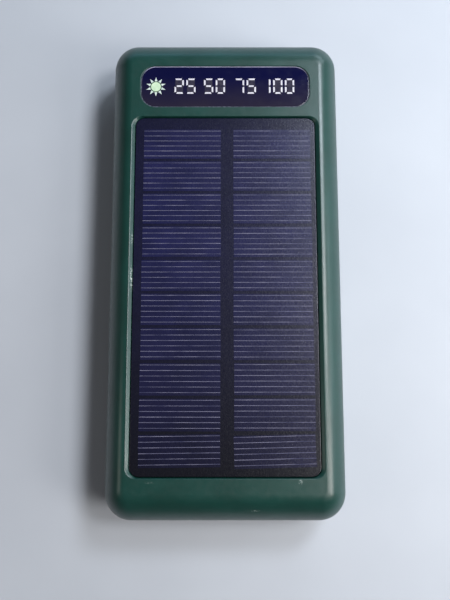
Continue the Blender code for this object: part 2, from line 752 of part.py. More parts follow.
def add_screws():
    screw = turned(
        "pcb_screw",
        [
            (SCREW_RADIUS / 2, -SCREW_LENGTH),
            (SCREW_RADIUS, SCREW_RADIUS - SCREW_LENGTH),
            (SCREW_RADIUS, 0.0),
            (SCREW_HEAD_RADIUS, 0.0),
            (SCREW_HEAD_RADIUS, SCREW_HEAD_HEIGHT / 2),
            (SCREW_HEAD_RADIUS / 2, SCREW_HEAD_HEIGHT),
        ],
    )
    for index, (x, y) in enumerate(screw_places()):
        place(screw, plated_steel(), (x, y, ON_PCB_Z), name=f"pcb_screw_{index + 1}")


# Power button and switch; both slide towards -X


def add_button():
    """Its origin is on its sliding axis, at the tip of its stem."""
    flange_z = BUTTON_STEM_LENGTH
    cap_z = flange_z + BUTTON_FLANGE_THICKNESS
    face_z = CASE_WIDTH / 2 - BUTTON_SINK - BUTTON_STEM_X

    def pill(size, inset=0.0):
        length, height = size
        return rounded_outline(height - 2 * inset, length - 2 * inset, (height - 2 * inset) / 2 - FILM_GAP)

    levels = [
        (pill(BUTTON_STEM), 0.0),
        (pill(BUTTON_STEM), flange_z),
        (pill(BUTTON_FLANGE), flange_z),
        (pill(BUTTON_FLANGE), cap_z),
        (pill(BUTTON_CAP), cap_z),
        (pill(BUTTON_CAP), face_z - GAP),
        (pill(BUTTON_CAP, GAP), face_z),
    ]
    place(loft("power_button", levels), black_plastic(), (BUTTON_STEM_X, BUTTON_Y, SEAM_Z), TOWARDS_SIDE)


def add_switch():
    """The plunger's origin is on its sliding axis, at its inner end."""
    plunger_x = BUTTON_STEM_X - GAP - PLUNGER[0]
    body_front_x = plunger_x + PLUNGER[0] / 2 - PLUNGER_CLEARANCE
    body_x = body_front_x - SWITCH_BODY[0] / 2
    body = place(block("switch_body", SWITCH_BODY), black_plastic(), (body_x, BUTTON_Y, ON_PCB_Z))
    well = block(
        "switch_well",
        (
            PLUNGER[2] + 2 * PLUNGER_CLEARANCE,
            PLUNGER[1] + 2 * PLUNGER_CLEARANCE,
            2 * SWITCH_WELL_DEPTH,
        ),
    )
    cut(body, tool(well, (body_front_x - SWITCH_WELL_DEPTH, BUTTON_Y, SEAM_Z), TOWARDS_SIDE))
    plunger = block("switch_plunger", (PLUNGER[2], PLUNGER[1], PLUNGER[0]))
    place(plunger, black_plastic(), (plunger_x, BUTTON_Y, SEAM_Z), TOWARDS_SIDE)


# Battery and wires


def add_battery():
    def outline(inset):
        return rounded_outline(BATTERY_WIDTH - 2 * inset, BATTERY_LENGTH - 2 * inset, BATTERY_CORNER - inset)

    pouch = loft(
        "battery_cell",
        [
            (outline(BATTERY_SOFT_EDGE), 0.0),
            (outline(0.0), BATTERY_SOFT_EDGE),
            (outline(0.0), BATTERY_CELL_HEIGHT - BATTERY_SOFT_EDGE),
            (outline(BATTERY_SOFT_EDGE), BATTERY_CELL_HEIGHT),
        ],
    )
    place(pouch, pouch_foil(), (0, BATTERY_Y, LOWER_CELL_Z), name="battery_cell_lower")
    place(pouch, pouch_foil(), (0, BATTERY_Y, UPPER_CELL_Z), name="battery_cell_upper")

    lower = (FOAM_WIDTH, FOAM_LENGTH, LOWER_FOAM_THICKNESS)
    upper = (FOAM_WIDTH, FOAM_LENGTH, UPPER_FOAM_THICKNESS)
    place(block("battery_foam_lower", lower), foam(), (0, BATTERY_Y, WALL + GAP))
    place(block("battery_foam_upper", upper), foam(), (0, BATTERY_Y, BATTERY_TOP_Z + GAP))

    board_y = BATTERY_FRONT_Y + GAP + PROTECTION_BOARD_SIZE[1] / 2
    board_z = UPPER_CELL_Z - PROTECTION_BOARD_SIZE[2] / 2
    place(block("battery_protection_board", PROTECTION_BOARD_SIZE), green_board(), (0, board_y, board_z))


def add_wires():
    start_y = BATTERY_FRONT_Y + GAP + PROTECTION_BOARD_SIZE[1] + GAP
    end_z = ON_PCB_Z + LEAD_RADIUS
    for name, material, x in (
        ("battery_lead_red", red_insulation(), -14.0 * MM),
        ("battery_lead_black", black_insulation(), -10.5 * MM),
    ):
        stops = (
            (x, start_y, 11.0 * MM),
            (x, start_y + 1.6 * MM, 11.8 * MM),
            (x, start_y + 3.6 * MM, 11.4 * MM),
            (x, start_y + 5.0 * MM, 10.2 * MM),
            (x, start_y + 6.6 * MM, end_z),
            (x, start_y + 8.6 * MM, end_z),
        )
        wire(name, material, stops)

    top_z = PANEL_POCKET_Z + ADHESIVE_THICKNESS - FILM_GAP
    for name, material, side in (
        ("solar_lead_red", red_insulation(), -1),
        ("solar_lead_black", black_insulation(), 1),
    ):
        stops = (
            (side * 2.0 * MM, LEAD_SLOT_Y, top_z),
            (side * 2.0 * MM, LEAD_SLOT_Y, 16.4 * MM),
            (side * 1.6 * MM, LEAD_SLOT_Y + 0.3 * MM, 13.6 * MM),
            (side * 1.0 * MM, LEAD_SLOT_Y + 0.9 * MM, 11.4 * MM),
            (side * 0.9 * MM, LEAD_SLOT_Y + 2.2 * MM, end_z + 0.2 * MM),
            (side * 0.9 * MM, LEAD_SLOT_Y + 4.2 * MM, end_z),
        )
        wire(name, material, stops)


def main():
    for old in list(bpy.data.objects):
        bpy.data.objects.remove(old)
    notch = port_notch()
    slot = button_slot()
    add_front_cover(notch, slot)
    add_rear_cover(notch, slot)
    add_solar_panel()
    add_display()
    add_port_plate()
    add_sockets()
    add_torch()
    add_main_board()
    add_board_parts()
    add_screws()
    add_button()
    add_switch()
    add_battery()
    add_wires()


main()
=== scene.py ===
"""Looks of the solar power bank: its shells, solar cells, lit display, sockets, torch and studio.

Metres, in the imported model's own frame: X across the housing, +Y towards the display and sockets,
+Z up, and the base at Z = 0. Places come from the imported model's nodes.
"""

import json
import math
import random

import bmesh
import bpy
from mathutils import Matrix, Vector


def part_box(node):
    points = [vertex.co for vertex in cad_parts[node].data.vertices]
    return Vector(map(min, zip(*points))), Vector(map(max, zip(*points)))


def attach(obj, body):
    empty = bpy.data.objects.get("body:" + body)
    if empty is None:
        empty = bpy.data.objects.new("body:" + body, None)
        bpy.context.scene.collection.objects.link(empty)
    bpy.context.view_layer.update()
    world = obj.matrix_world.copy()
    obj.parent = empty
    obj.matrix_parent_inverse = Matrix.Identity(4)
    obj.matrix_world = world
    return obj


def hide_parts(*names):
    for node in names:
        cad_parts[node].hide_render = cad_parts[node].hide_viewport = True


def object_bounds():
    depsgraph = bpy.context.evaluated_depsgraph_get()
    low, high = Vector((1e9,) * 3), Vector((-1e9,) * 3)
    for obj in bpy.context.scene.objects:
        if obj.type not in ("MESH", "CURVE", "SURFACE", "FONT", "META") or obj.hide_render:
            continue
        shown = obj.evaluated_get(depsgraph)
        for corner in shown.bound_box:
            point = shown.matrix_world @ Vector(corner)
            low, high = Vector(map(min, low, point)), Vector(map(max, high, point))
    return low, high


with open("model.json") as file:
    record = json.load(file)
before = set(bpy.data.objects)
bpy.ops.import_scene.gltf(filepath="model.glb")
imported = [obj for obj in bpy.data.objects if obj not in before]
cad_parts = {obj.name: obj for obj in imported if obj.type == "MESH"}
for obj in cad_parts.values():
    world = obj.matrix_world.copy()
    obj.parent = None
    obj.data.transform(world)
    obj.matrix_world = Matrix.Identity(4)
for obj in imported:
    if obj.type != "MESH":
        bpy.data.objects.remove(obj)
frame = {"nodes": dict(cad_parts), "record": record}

CAD_BOX = [list(corner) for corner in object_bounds()]
MM = 0.001

# Shells
CORNER_RADIUS = 8.0 * MM
CREASE_RADIUS = 0.5 * MM
EDGE_INSET = 6.8 * MM
END_INSET = 8.85 * MM
SHOULDER_RADIUS = 4.0 * MM
SHOULDER_TURN = math.radians(35)
FLANK_RADIUS = (EDGE_INSET - SHOULDER_RADIUS * math.sin(SHOULDER_TURN)) / (1 - math.sin(SHOULDER_TURN))
EDGE_RISE = SHOULDER_RADIUS + (FLANK_RADIUS - SHOULDER_RADIUS) * math.cos(SHOULDER_TURN)
WALL = 2.0 * MM
OUTER_SEGMENTS = 14  # in each of the edge rounding's two arcs
INNER_SEGMENTS = 6
CORNER_SEGMENTS = 14
SEAM_GAP = 0.2 * MM
SEAM_CHAMFER = 0.2 * MM
LIP_ROUNDING = 0.18 * MM  # of the pockets' edges in the housing's face
LIP_REACH = 1.0 * MM  # how far below that face its edges are rounded
POCKET_GAP = 0.1 * MM  # under what the pockets hold
BED_MARGIN = 4.0 * MM  # how much wider and longer than the panel its bed is
RIM_MARGIN = 3.0 * MM  # how much wider and longer than the window its rim is
FLOOR_UNDER_PANEL = 1.6 * MM
FLOOR_UNDER_WINDOW = 1.1 * MM

# Worn spots on the housing's upper side: place, reach along X and Y, and strength
WORN_PLACES = [
    ((-27.4 * MM, -3.0 * MM), (0.5 * MM, 4.6 * MM), 0.8),
    ((-27.5 * MM, 8.5 * MM), (0.4 * MM, 2.2 * MM), 0.55),
    ((20.9 * MM, -60.6 * MM), (0.7 * MM, 0.8 * MM), 0.8),
    ((7.7 * MM, -68.8 * MM), (2.2 * MM, 0.4 * MM), 0.3),
    ((-21.0 * MM, -60.8 * MM), (1.6 * MM, 0.5 * MM), 0.12),
]

# Solar panel
PANEL_GAP = 0.2 * MM
PANEL_LIP_DROP = 0.7 * MM
PANEL_LIP_SIDE = 1.0 * MM
PANEL_LIP_END = 0.25 * MM
PANEL_CORNER = 2.6 * MM
RESIN_SINK = 0.1 * MM  # the black resin below the panel's face
RESIN_BEVEL = 0.15 * MM
CELL_SINK = 0.05 * MM
CELL_CORNER = 0.2 * MM
FINGERS = 6
FINGER_PITCH = 1.557 * MM
FINGER_WIDTH = 0.17 * MM
FINGER_WIDTHS = (0.85, 1.15)  # the least and the most of that width
FINGER_WAVER = 0.02 * MM
FINGER_SHORTFALL = 0.1 * MM  # a finger's length below the cell's width
FINGER_HEIGHT = 0.03 * MM
FIRST_FINGER = 0.45 * MM  # from the cell's upper edge
CELL_THICKNESS = 0.12 * MM
LOOSE_CELL_TURNS = {"solar_cell_right_10": 1.5, "solar_cell_left_10": 0.7}  # degrees
CELL_TURN = 0.12  # degrees, the most that the other cells are off square
CELL_SHIFT = 0.08 * MM
CHANCE_SEED = 7

# Display
WINDOW_CORNER = 4.4 * MM
WINDOW_GAP = 0.2 * MM
WINDOW_BEVEL = 0.25 * MM
GLUE_SINK = 0.02 * MM
GLUE_PROFILE = [  # inset from the pocket's wall and height from the bead's top
    (0.02 * MM, -0.5 * MM),
    (0.02 * MM, -0.1 * MM),
    (0.08 * MM, 0.0),
    (0.24 * MM, 0.0),
    (0.3 * MM, -0.1 * MM),
    (0.3 * MM, -0.5 * MM),
]
FIGURE_RAISE = 0.02 * MM
DIGIT_WIDTH = 2.32 * MM  # between the middles of its upright strokes
DIGIT_HEIGHT = 4.39 * MM  # between the middles of its top and bottom strokes
DIGIT_PITCH = 3.57 * MM
ONE_PITCH = 1.3 * MM
STROKE_WIDTH = 0.5 * MM
STROKE_MITRE = 0.1 * MM
LEVEL_GAP = 0.42 * MM  # from a corner to the end of a level stroke
UPRIGHT_GAP = 0.3 * MM
OPEN_GAP = 0.08 * MM  # where no stroke meets it
SPILL_FILM_DIGITS = "025"  # the digits whose film shows between their strokes, painted lighter where their light spills
FIGURES = {"25": -15.15 * MM, "50": -6.2 * MM, "75": 3.2 * MM, "100": 13.55 * MM}  # first strokes
LIT_STROKES = {"0": "abcdef", "1": "ef", "2": "abged", "5": "afgcd", "7": "abc"}
SUN_X = -21.05 * MM
SUN_DROP = 0.2 * MM  # below the middle of the figures
SUN_DISC = 1.5 * MM
SUN_RING = 1.8 * MM
SUN_RAY_FOOT = 1.8 * MM
SUN_RAY_TIP = 3.05 * MM
SUN_RAYS = 10
SUN_RAY_HALF_WIDTH = math.radians(13.5)

# Ports
PORT_PLATE_CORNER = 3.0 * MM
PORT_BEVEL = 0.25 * MM
NOTCH_MARGIN = 0.3 * MM  # how much wider and higher than the plate its notch is
MOUTH_MARGIN = 0.25 * MM  # round each socket and the torch
MOUTH_FLARE = 0.35 * MM
SOCKET_SEGMENTS = 10
USB_A_CORNER = 0.6 * MM
USB_C_CORNER = 1.6 * MM
USB_A_SHEET = 0.35 * MM
USB_C_SHEET = 0.3 * MM
USB_A_CONTACTS = [x * MM for x in (-3.5, -1.0, 1.0, 3.5)]
USB_A_CONTACT = (1.0 * MM, 7.0 * MM)
USB_C_CONTACTS = [(index - 5.5) * 0.5 * MM for index in range(12)]
USB_C_CONTACT = (0.28 * MM, 3.4 * MM)
CONTACT_RAISE = 0.03 * MM
CONTACT_SET_BACK = 0.4 * MM  # from the tongue's tip

# Torch
CUP_WALL = 0.4 * MM
CUP_THROAT = 1.5 * MM
CUP_STEPS = 12
LED_RADIUS = 1.25 * MM
LED_STEPS = 8
LED_SWEEP = math.radians(76.8)  # of its rounded tip, which ends in a small flat
LENS_EDGE_SHARE = 0.45  # of the lens thickness, below its dome
LENS_STEPS = 11
LENS_SWEEP = math.radians(85.8)

# Button, each pair across the seam and along the housing
BUTTON_SLOT = (3.4 * MM, 9.8 * MM)
BUTTON_CAP = (3.0 * MM, 9.4 * MM)
BUTTON_STEM = (2.0 * MM, 3.0 * MM)
BUTTON_STEM_LENGTH = 0.7 * MM
BUTTON_FLANGE_THICKNESS = 0.8 * MM
BUTTON_ROUNDING = 0.3 * MM
BUTTON_DISH = 0.12 * MM
BUTTON_DISH_SHARE = 0.95  # of the cap's half width, the dish's reach
BUTTON_STEPS = 6

ROUND_SEGMENTS = 48
PILL_TRIM = 0.01 * MM  # off a full end radius, so that no two points meet
SMOOTH_ANGLE = math.radians(40)  # between two faces that shade as one
EDGE_ANGLE = math.radians(25)  # between two faces whose edge is rounded

# Studio
CAMERA_PLACE = (-0.06 * MM, -32.52 * MM, 194.01 * MM)
CAMERA_TILT = math.radians(7.6)
CAMERA_LENS = 36.0
SENSOR_WIDTH = 36.0
CLIP_START = 5 * MM
FLOOR_SIDE = 4.0
FLOOR_THICKNESS = 10 * MM
FLOOR_GAP = 0.02 * MM  # under the housing
WORLD_COLOUR = (0.95, 0.97, 1.0, 1.0)
WORLD_STRENGTH = 0.07
LIGHT_TARGET = Vector((0.0, 0.0, 10 * MM))
LIGHTS = {  # place, (width, height), watts and colour
    "key": ((0.21, -0.13, 0.36), (0.12, 0.12), 0.34, (1.0, 0.98, 0.96)),
    "right": ((0.3, -0.13, 0.25), (0.12, 0.12), 0.55, (1.0, 0.98, 0.96)),
    "left": ((-0.26, -0.1, 0.21), (0.1, 0.1), 0.07, (1.0, 0.92, 0.88)),
    "over_right": ((0.24, 0.05, 0.42), (0.12, 0.12), 1.05, (0.96, 0.97, 1.0)),
    "low_right": ((0.46, 0.02, 0.16), (0.3, 0.2), 0.6, (0.8, 0.92, 1.0)),
    "right_back": ((0.2, 0.32, 0.14), (0.25, 0.12), 0.35, (0.75, 0.88, 1.0)),
    "high_back": ((0.22, 0.24, 0.4), (0.12, 0.12), 1.3, (0.82, 0.9, 1.0)),
    "back": ((-0.05, 0.5, 0.12), (0.45, 0.12), 0.25, (0.4, 0.7, 1.0)),
}

TOWARDS_PORTS = Matrix.Rotation(-math.pi / 2, 4, "X")  # turns a shape's +Z to +Y
TOWARDS_SIDE = Matrix.Rotation(math.pi / 2, 4, "Y")  # turns a shape's +Z to +X


def size_of(node):
    low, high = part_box(node)
    return high - low


def centre_of(node):
    low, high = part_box(node)
    return (low + high) / 2


# Places that several pieces share

CASE_SIZE = Vector(CAD_BOX[1]) - Vector(CAD_BOX[0])
SEAM_Z = CASE_SIZE.z / 2
PANEL_MIDDLE = centre_of("solar_board")
PANEL_SIZE = size_of("solar_board")
PANEL_TOP_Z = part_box("solar_encapsulant")[1].z
WINDOW_MIDDLE = centre_of("display_window")
WINDOW_SIZE = size_of("display_window")
WINDOW_TOP_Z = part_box("display_window")[1].z
DISPLAY_MIDDLE = centre_of("display_reflector")
PLATE_MIDDLE = centre_of("port_plate")
PLATE_SIZE = size_of("port_plate")
PLATE_FACE_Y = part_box("port_plate")[1].y


# Material helpers


class Paint:
    """A Principled material with short helpers for the nodes that give it its detail."""

    def __init__(self, name, colour, roughness, metallic=0.0):
        self.material = bpy.data.materials.new(name)
        self.material.use_nodes = True
        self.nodes = self.material.node_tree.nodes
        self.links = self.material.node_tree.links
        self.shader = self.nodes["Principled BSDF"]
        self.shader.inputs["Base Color"].default_value = (*colour, 1.0)
        self.shader.inputs["Roughness"].default_value = roughness
        self.shader.inputs["Metallic"].default_value = metallic
        self.place = self.nodes.new("ShaderNodeTexCoord").outputs["Object"]
        self.height = None

    def set(self, **values):
        """Sets plain values on the shader's sockets, named with _ for each space."""
        for name, value in values.items():
            self.shader.inputs[name.replace("_", " ")].default_value = value

    def feed(self, socket, value):
        """Links a socket or sets it to a plain value."""
        if isinstance(value, bpy.types.NodeSocket):
            self.links.new(value, socket)
        else:
            socket.default_value = value

    def noise(self, size, detail=3.0, roughness=0.55, stretch=(1, 1, 1)):
        """Noise whose features are about this size in metres."""
        scaled = self.nodes.new("ShaderNodeMapping")
        scaled.inputs["Scale"].default_value = stretch
        self.links.new(self.place, scaled.inputs["Vector"])
        node = self.nodes.new("ShaderNodeTexNoise")
        node.inputs["Scale"].default_value = 1 / size
        node.inputs["Detail"].default_value = detail
        node.inputs["Roughness"].default_value = roughness
        self.links.new(scaled.outputs["Vector"], node.inputs["Vector"])
        return node.outputs["Fac"]

    def spots(self, spacing, radius, stretch=(1, 1, 1)):
        """1 in small round spots, one to a cell of this spacing, and 0 elsewhere."""
        scaled = self.nodes.new("ShaderNodeMapping")
        scaled.inputs["Scale"].default_value = stretch
        self.links.new(self.place, scaled.inputs["Vector"])
        node = self.nodes.new("ShaderNodeTexVoronoi")
        node.inputs["Scale"].default_value = 1 / spacing
        self.links.new(scaled.outputs["Vector"], node.inputs["Vector"])
        return self.ramp(node.outputs["Distance"], radius / spacing, 0.6 * radius / spacing)

    def near(self, place, reach):
        """1 at a place in X and Y, falling to 0 at this reach along each."""
        scaled = self.nodes.new("ShaderNodeMapping")
        scaled.inputs["Location"].default_value = (-place[0] / reach[0], -place[1] / reach[1], 0)
        scaled.inputs["Scale"].default_value = (1 / reach[0], 1 / reach[1], 0)
        self.links.new(self.place, scaled.inputs["Vector"])
        node = self.nodes.new("ShaderNodeVectorMath")
        node.operation = "LENGTH"
        self.links.new(scaled.outputs["Vector"], node.inputs[0])
        return self.ramp(node.outputs["Value"], 1.0, 0.3)

    def ramp(self, factor, start, end, low=0.0, high=1.0):
        """Maps factor from start..end to low..high, clamped."""
        node = self.nodes.new("ShaderNodeMapRange")
        self.feed(node.inputs["Value"], factor)
        node.inputs["From Min"].default_value = start
        node.inputs["From Max"].default_value = end
        node.inputs["To Min"].default_value = low
        node.inputs["To Max"].default_value = high
        return node.outputs["Result"]

    def combine(self, operation, first, second):
        node = self.nodes.new("ShaderNodeMath")
        node.operation = operation
        self.feed(node.inputs[0], first)
        self.feed(node.inputs[1], second)
        return node.outputs["Value"]

    def times(self, first, second):
        return self.combine("MULTIPLY", first, second)

    def larger(self, first, second):
        return self.combine("MAXIMUM", first, second)

    def mix(self, factor, first, second):
        """A colour between two colours or colour sockets."""
        node = self.nodes.new("ShaderNodeMix")
        node.data_type = "RGBA"
        self.feed(node.inputs["Factor"], factor)
        # A Mix node names its A, B and Result once for each kind of value, so these are by number
        for socket, colour in zip((node.inputs[6], node.inputs[7]), (first, second)):
            self.feed(socket, colour if isinstance(colour, bpy.types.NodeSocket) else (*colour, 1.0))
        return node.outputs[2]

    def wander(self, grain, first, second, start=0.3, end=0.7):
        """A colour that wanders between two as the grain goes from start to end."""
        return self.mix(self.ramp(grain, start, end), first, second)

    def coordinate(self, axis):
        node = self.nodes.new("ShaderNodeSeparateXYZ")
        self.links.new(self.place, node.inputs["Vector"])
        return node.outputs[axis]

    def colour(self, value):
        self.feed(self.shader.inputs["Base Color"], value)

    def roughness(self, value):
        self.feed(self.shader.inputs["Roughness"], value)

    def bump(self, height, depth):
        """Adds relief of this depth in metres, on top of any relief already there."""
        node = self.nodes.new("ShaderNodeBump")
        node.inputs["Distance"].default_value = depth
        self.feed(node.inputs["Height"], height)
        if self.height is not None:
            self.links.new(self.height, node.inputs["Normal"])
        self.height = node.outputs["Normal"]
        for name in ("Normal", "Coat Normal"):
            self.links.new(self.height, self.shader.inputs[name])


def srgb(red, green, blue):
    """A linear colour from 0-255 display values."""

    def linear(value):
        share = value / 255
        return share / 12.92 if share <= 0.04045 else ((share + 0.055) / 1.055) ** 2.4

    return tuple(linear(value) for value in (red, green, blue))


# Materials


def green_plastic():
    """Satin moulded plastic with a fine mould grain, faint mottling, and a little dust and wear."""
    paint = Paint("green_plastic", srgb(17, 58, 53), 0.42)
    mottle = paint.noise(9 * MM, 4)
    base = paint.wander(mottle, srgb(11, 52, 45), srgb(15, 60, 53))
    dust = paint.times(paint.spots(5.2 * MM, 0.16 * MM), paint.ramp(paint.noise(7 * MM), 0.52, 0.6))
    base = paint.mix(paint.times(dust, 0.5), base, srgb(170, 185, 175))
    scuff = paint.ramp(paint.noise(2.2 * MM, 5, 0.7, (1, 4, 1)), 0.66, 0.8)
    base = paint.mix(paint.times(scuff, 0.25), base, srgb(90, 125, 110))
    crumbs = paint.ramp(paint.noise(0.45 * MM, 3, 0.6), 0.5, 0.6)
    for place, reach, share in WORN_PLACES:
        worn = paint.times(paint.near(place, reach), crumbs)
        base = paint.mix(paint.times(worn, share), base, srgb(205, 212, 205))
    paint.colour(base)
    paint.roughness(paint.ramp(paint.noise(1.6 * MM, 5, 0.65), 0.3, 0.75, 0.32, 0.41))
    paint.bump(paint.noise(0.45 * MM, 3), 0.014 * MM)
    paint.bump(mottle, 0.05 * MM)
    paint.set(Specular_IOR_Level=0.7)
    return paint.material


def black_resin():
    """The panel's black board under its grained clear film."""
    paint = Paint("black_resin", srgb(13, 14, 40), 0.35)
    cloud = paint.noise(6 * MM, 4)
    base = paint.wander(cloud, srgb(7, 8, 36), srgb(14, 14, 44))
    # painted shade: the resin darkens towards the lowest rows of cells
    paint.colour(paint.mix(painted_lower_shade(paint), base, srgb(5, 5, 16)))
    panel_film(paint)
    return paint.material


def panel_film(paint):
    """The pebbled clear film over the whole panel: a broad sheen and a fine grain."""
    paint.roughness(paint.ramp(paint.noise(0.8 * MM, 4), 0.3, 0.7, 0.24, 0.29))
    paint.bump(paint.noise(0.42 * MM, 2, 0.5), 0.028 * MM)
    paint.set(Specular_IOR_Level=0.8)


def painted_lower_shade(paint):
    """Painted shade: 0 over the upper rows of cells, rising to 1 at the lowest, where the panel looks
    blacker; the darkening stands in for weaker light there.
    """
    low_y = PANEL_MIDDLE.y - PANEL_SIZE.y / 2
    return paint.ramp(paint.coordinate("Y"), low_y, low_y + 0.6 * PANEL_SIZE.y, 1.0, 0.0)


def silicon():
    """The cells' dark blue under the film, cloudy and a little uneven over the panel."""
    paint = Paint("silicon", srgb(18, 20, 60), 0.3)
    cloud = paint.noise(5 * MM, 5, 0.6, (0.6, 1, 1))
    base = paint.wander(cloud, srgb(12, 14, 52), srgb(24, 25, 68))
    # painted shade: the cells darken towards the lowest rows
    base = paint.mix(painted_lower_shade(paint), base, srgb(7, 7, 30))
    blotch = paint.noise(28 * MM, 2)
    base = paint.mix(paint.ramp(blotch, 0.35, 0.65, 0, 0.4), base, srgb(26, 24, 60))
    paint.colour(base)
    panel_film(paint)
    return paint.material


def silver_print():
    """Screen-printed fingers: grey silver that is brighter in places along each line."""
    paint = Paint("silver_print", srgb(95, 95, 125), 0.42)
    along = paint.noise(3.5 * MM, 4, 0.6, (0.5, 1.5, 1))
    paint.colour(paint.wander(along, srgb(58, 59, 86), srgb(116, 114, 134), 0.35, 0.65))
    panel_film(paint)
    return paint.material


def smoked_plastic():
    """A glossy blue-black pane with painted light that turns it browner towards its lower edge, and a
    little dust.
    """
    paint = Paint("smoked_plastic", srgb(10, 11, 34), 0.12)
    low_y = WINDOW_MIDDLE.y - WINDOW_SIZE.y / 2
    # painted light: the pane turns browner and lighter towards its lower edge
    downward = paint.ramp(paint.coordinate("Y"), low_y, low_y + 0.75 * WINDOW_SIZE.y, 1.0, 0.0)
    painted_lower_light = paint.times(downward, paint.ramp(paint.noise(9 * MM, 4), 0.3, 0.7, 0.75, 1.0))
    base = paint.mix(painted_lower_light, srgb(8, 10, 50), srgb(40, 35, 49))
    dust = paint.times(paint.spots(3.4 * MM, 0.1 * MM), paint.ramp(paint.noise(5 * MM), 0.55, 0.62))
    paint.colour(paint.mix(paint.times(dust, 0.5), base, srgb(120, 120, 140)))
    paint.roughness(paint.ramp(paint.noise(2.5 * MM, 5), 0.35, 0.7, 0.09, 0.2))
    paint.bump(paint.noise(6 * MM, 3), 0.02 * MM)
    return paint.material


def film_with_painted_spill():
    """The film inside the figures, painted a little lighter than the window where their light spills."""
    paint = Paint("film_with_painted_spill", srgb(40, 38, 54), 0.12)
    cloud = paint.noise(0.9 * MM, 4)
    paint.colour(paint.wander(cloud, srgb(32, 31, 54), srgb(66, 62, 72)))
    paint.roughness(paint.ramp(paint.noise(2.5 * MM, 5), 0.35, 0.7, 0.09, 0.2))
    return paint.material


def lit_print(name, bright, dim):
    """A figure lit from behind, a little uneven as its lamps are."""
    paint = Paint(name, bright, 0.3)
    glow = paint.wander(paint.noise(1.1 * MM, 3), dim, bright)
    paint.colour(paint.mix(0.6, glow, srgb(30, 30, 34)))
    paint.feed(paint.shader.inputs["Emission Color"], glow)
    paint.shader.inputs["Emission Strength"].default_value = 0.5
    return paint.material


def ring_print():
    """The dark print that parts the sun's disc from its rays."""
    paint = Paint("ring_print", srgb(34, 62, 50), 0.2)
    paint.colour(paint.mix(paint.noise(0.5 * MM), srgb(24, 46, 40), srgb(48, 80, 62)))
    return paint.material


def glue_with_highlight():
    """Clear glue with a painted highlight that shows pale along the window's upper edge, and pale flecks
    elsewhere.
    """
    paint = Paint("glue_with_highlight", srgb(90, 92, 104), 0.35)
    top_y = WINDOW_MIDDLE.y + WINDOW_SIZE.y / 2
    # painted highlight: pale along the window's upper edge
    upper = paint.ramp(paint.coordinate("Y"), top_y - 2.6 * MM, top_y - 0.4 * MM)
    along = paint.ramp(paint.noise(5 * MM, 3), 0.3, 0.6, 0.55, 0.95)
    flecks = paint.ramp(paint.noise(0.7 * MM, 4, 0.7), 0.46, 0.62, 0.12, 0.75)
    share = paint.larger(paint.times(upper, along), paint.times(flecks, 0.6))
    paint.colour(paint.mix(share, srgb(24, 42, 46), srgb(176, 172, 196)))
    paint.bump(paint.noise(0.5 * MM, 3), 0.04 * MM)
    return paint.material


def black_plastic():
    paint = Paint("black_plastic", srgb(24, 24, 26), 0.45)
    paint.colour(paint.wander(paint.noise(4 * MM), srgb(20, 20, 22), srgb(30, 30, 32)))
    paint.roughness(paint.ramp(paint.noise(1.2 * MM, 4), 0.3, 0.7, 0.38, 0.52))
    paint.bump(paint.noise(0.25 * MM, 2), 0.01 * MM)
    return paint.material


def plated_steel():
    """Nickel-plated sheet with fine drawing marks along it."""
    paint = Paint("plated_steel", srgb(196, 197, 200), 0.26, metallic=1.0)
    marks = paint.noise(0.5 * MM, 4, 0.6, (4, 0.4, 4))
    paint.colour(paint.wander(marks, srgb(180, 181, 185), srgb(212, 212, 214)))
    paint.roughness(paint.ramp(marks, 0.3, 0.7, 0.2, 0.34))
    paint.bump(marks, 0.004 * MM)
    return paint.material


def gold_contact():
    paint = Paint("gold_contact", srgb(214, 172, 88), 0.25, metallic=1.0)
    wear = paint.noise(0.6 * MM, 4)
    paint.colour(paint.wander(wear, srgb(220, 178, 92), srgb(180, 145, 82), 0.4))
    paint.roughness(paint.ramp(wear, 0.3, 0.7, 0.2, 0.35))
    return paint.material


def bright_plating():
    paint = Paint("bright_plating", srgb(225, 226, 228), 0.1, metallic=1.0)
    marks = paint.noise(1.0 * MM, 3)
    paint.roughness(paint.ramp(marks, 0.3, 0.7, 0.06, 0.14))
    return paint.material


def clear_lens():
    paint = Paint("clear_lens", (0.95, 0.96, 0.97), 0.03)
    paint.set(Transmission_Weight=1.0, IOR=1.49)
    paint.bump(paint.noise(1.5 * MM, 2), 0.01 * MM)
    return paint.material


def led_resin():
    paint = Paint("led_resin", srgb(226, 205, 96), 0.4)
    grain = paint.noise(0.4 * MM, 3)
    paint.colour(paint.wander(grain, srgb(218, 192, 70), srgb(238, 222, 130)))
    return paint.material


# Colour, second colour, roughness, metallic and grain size of the other packed slots' finishes
PLAIN_FINISHES = {
    "display_mask": (srgb(14, 15, 26), srgb(22, 22, 34), 0.6, 0.0, 2 * MM),
    "black_board": (srgb(14, 15, 24), srgb(24, 25, 36), 0.5, 0.0, 3 * MM),
    "green_board": (srgb(14, 76, 44), srgb(24, 96, 58), 0.45, 0.0, 1.5 * MM),
    "ferrite": (srgb(52, 52, 56), srgb(72, 71, 74), 0.75, 0.0, 0.6 * MM),
    "foam": (srgb(40, 40, 44), srgb(66, 66, 72), 0.95, 0.0, 0.4 * MM),
    "pouch_foil": (srgb(176, 178, 182), srgb(200, 201, 204), 0.35, 0.85, 5 * MM),
    "red_insulation": (srgb(150, 18, 16), srgb(178, 30, 24), 0.5, 0.0, 2 * MM),
    "black_insulation": (srgb(18, 18, 18), srgb(34, 34, 34), 0.5, 0.0, 2 * MM),
}


def plain_finish(slot):
    first, second, roughness, metallic, size = PLAIN_FINISHES[slot]
    paint = Paint(slot, first, roughness, metallic)
    grain = paint.noise(size, 4)
    paint.colour(paint.wander(grain, first, second))
    paint.roughness(paint.ramp(grain, 0.3, 0.7, 0.85 * roughness, min(1.0, 1.1 * roughness)))
    paint.bump(grain, 0.05 * size)
    return paint.material


# Outlines and meshes


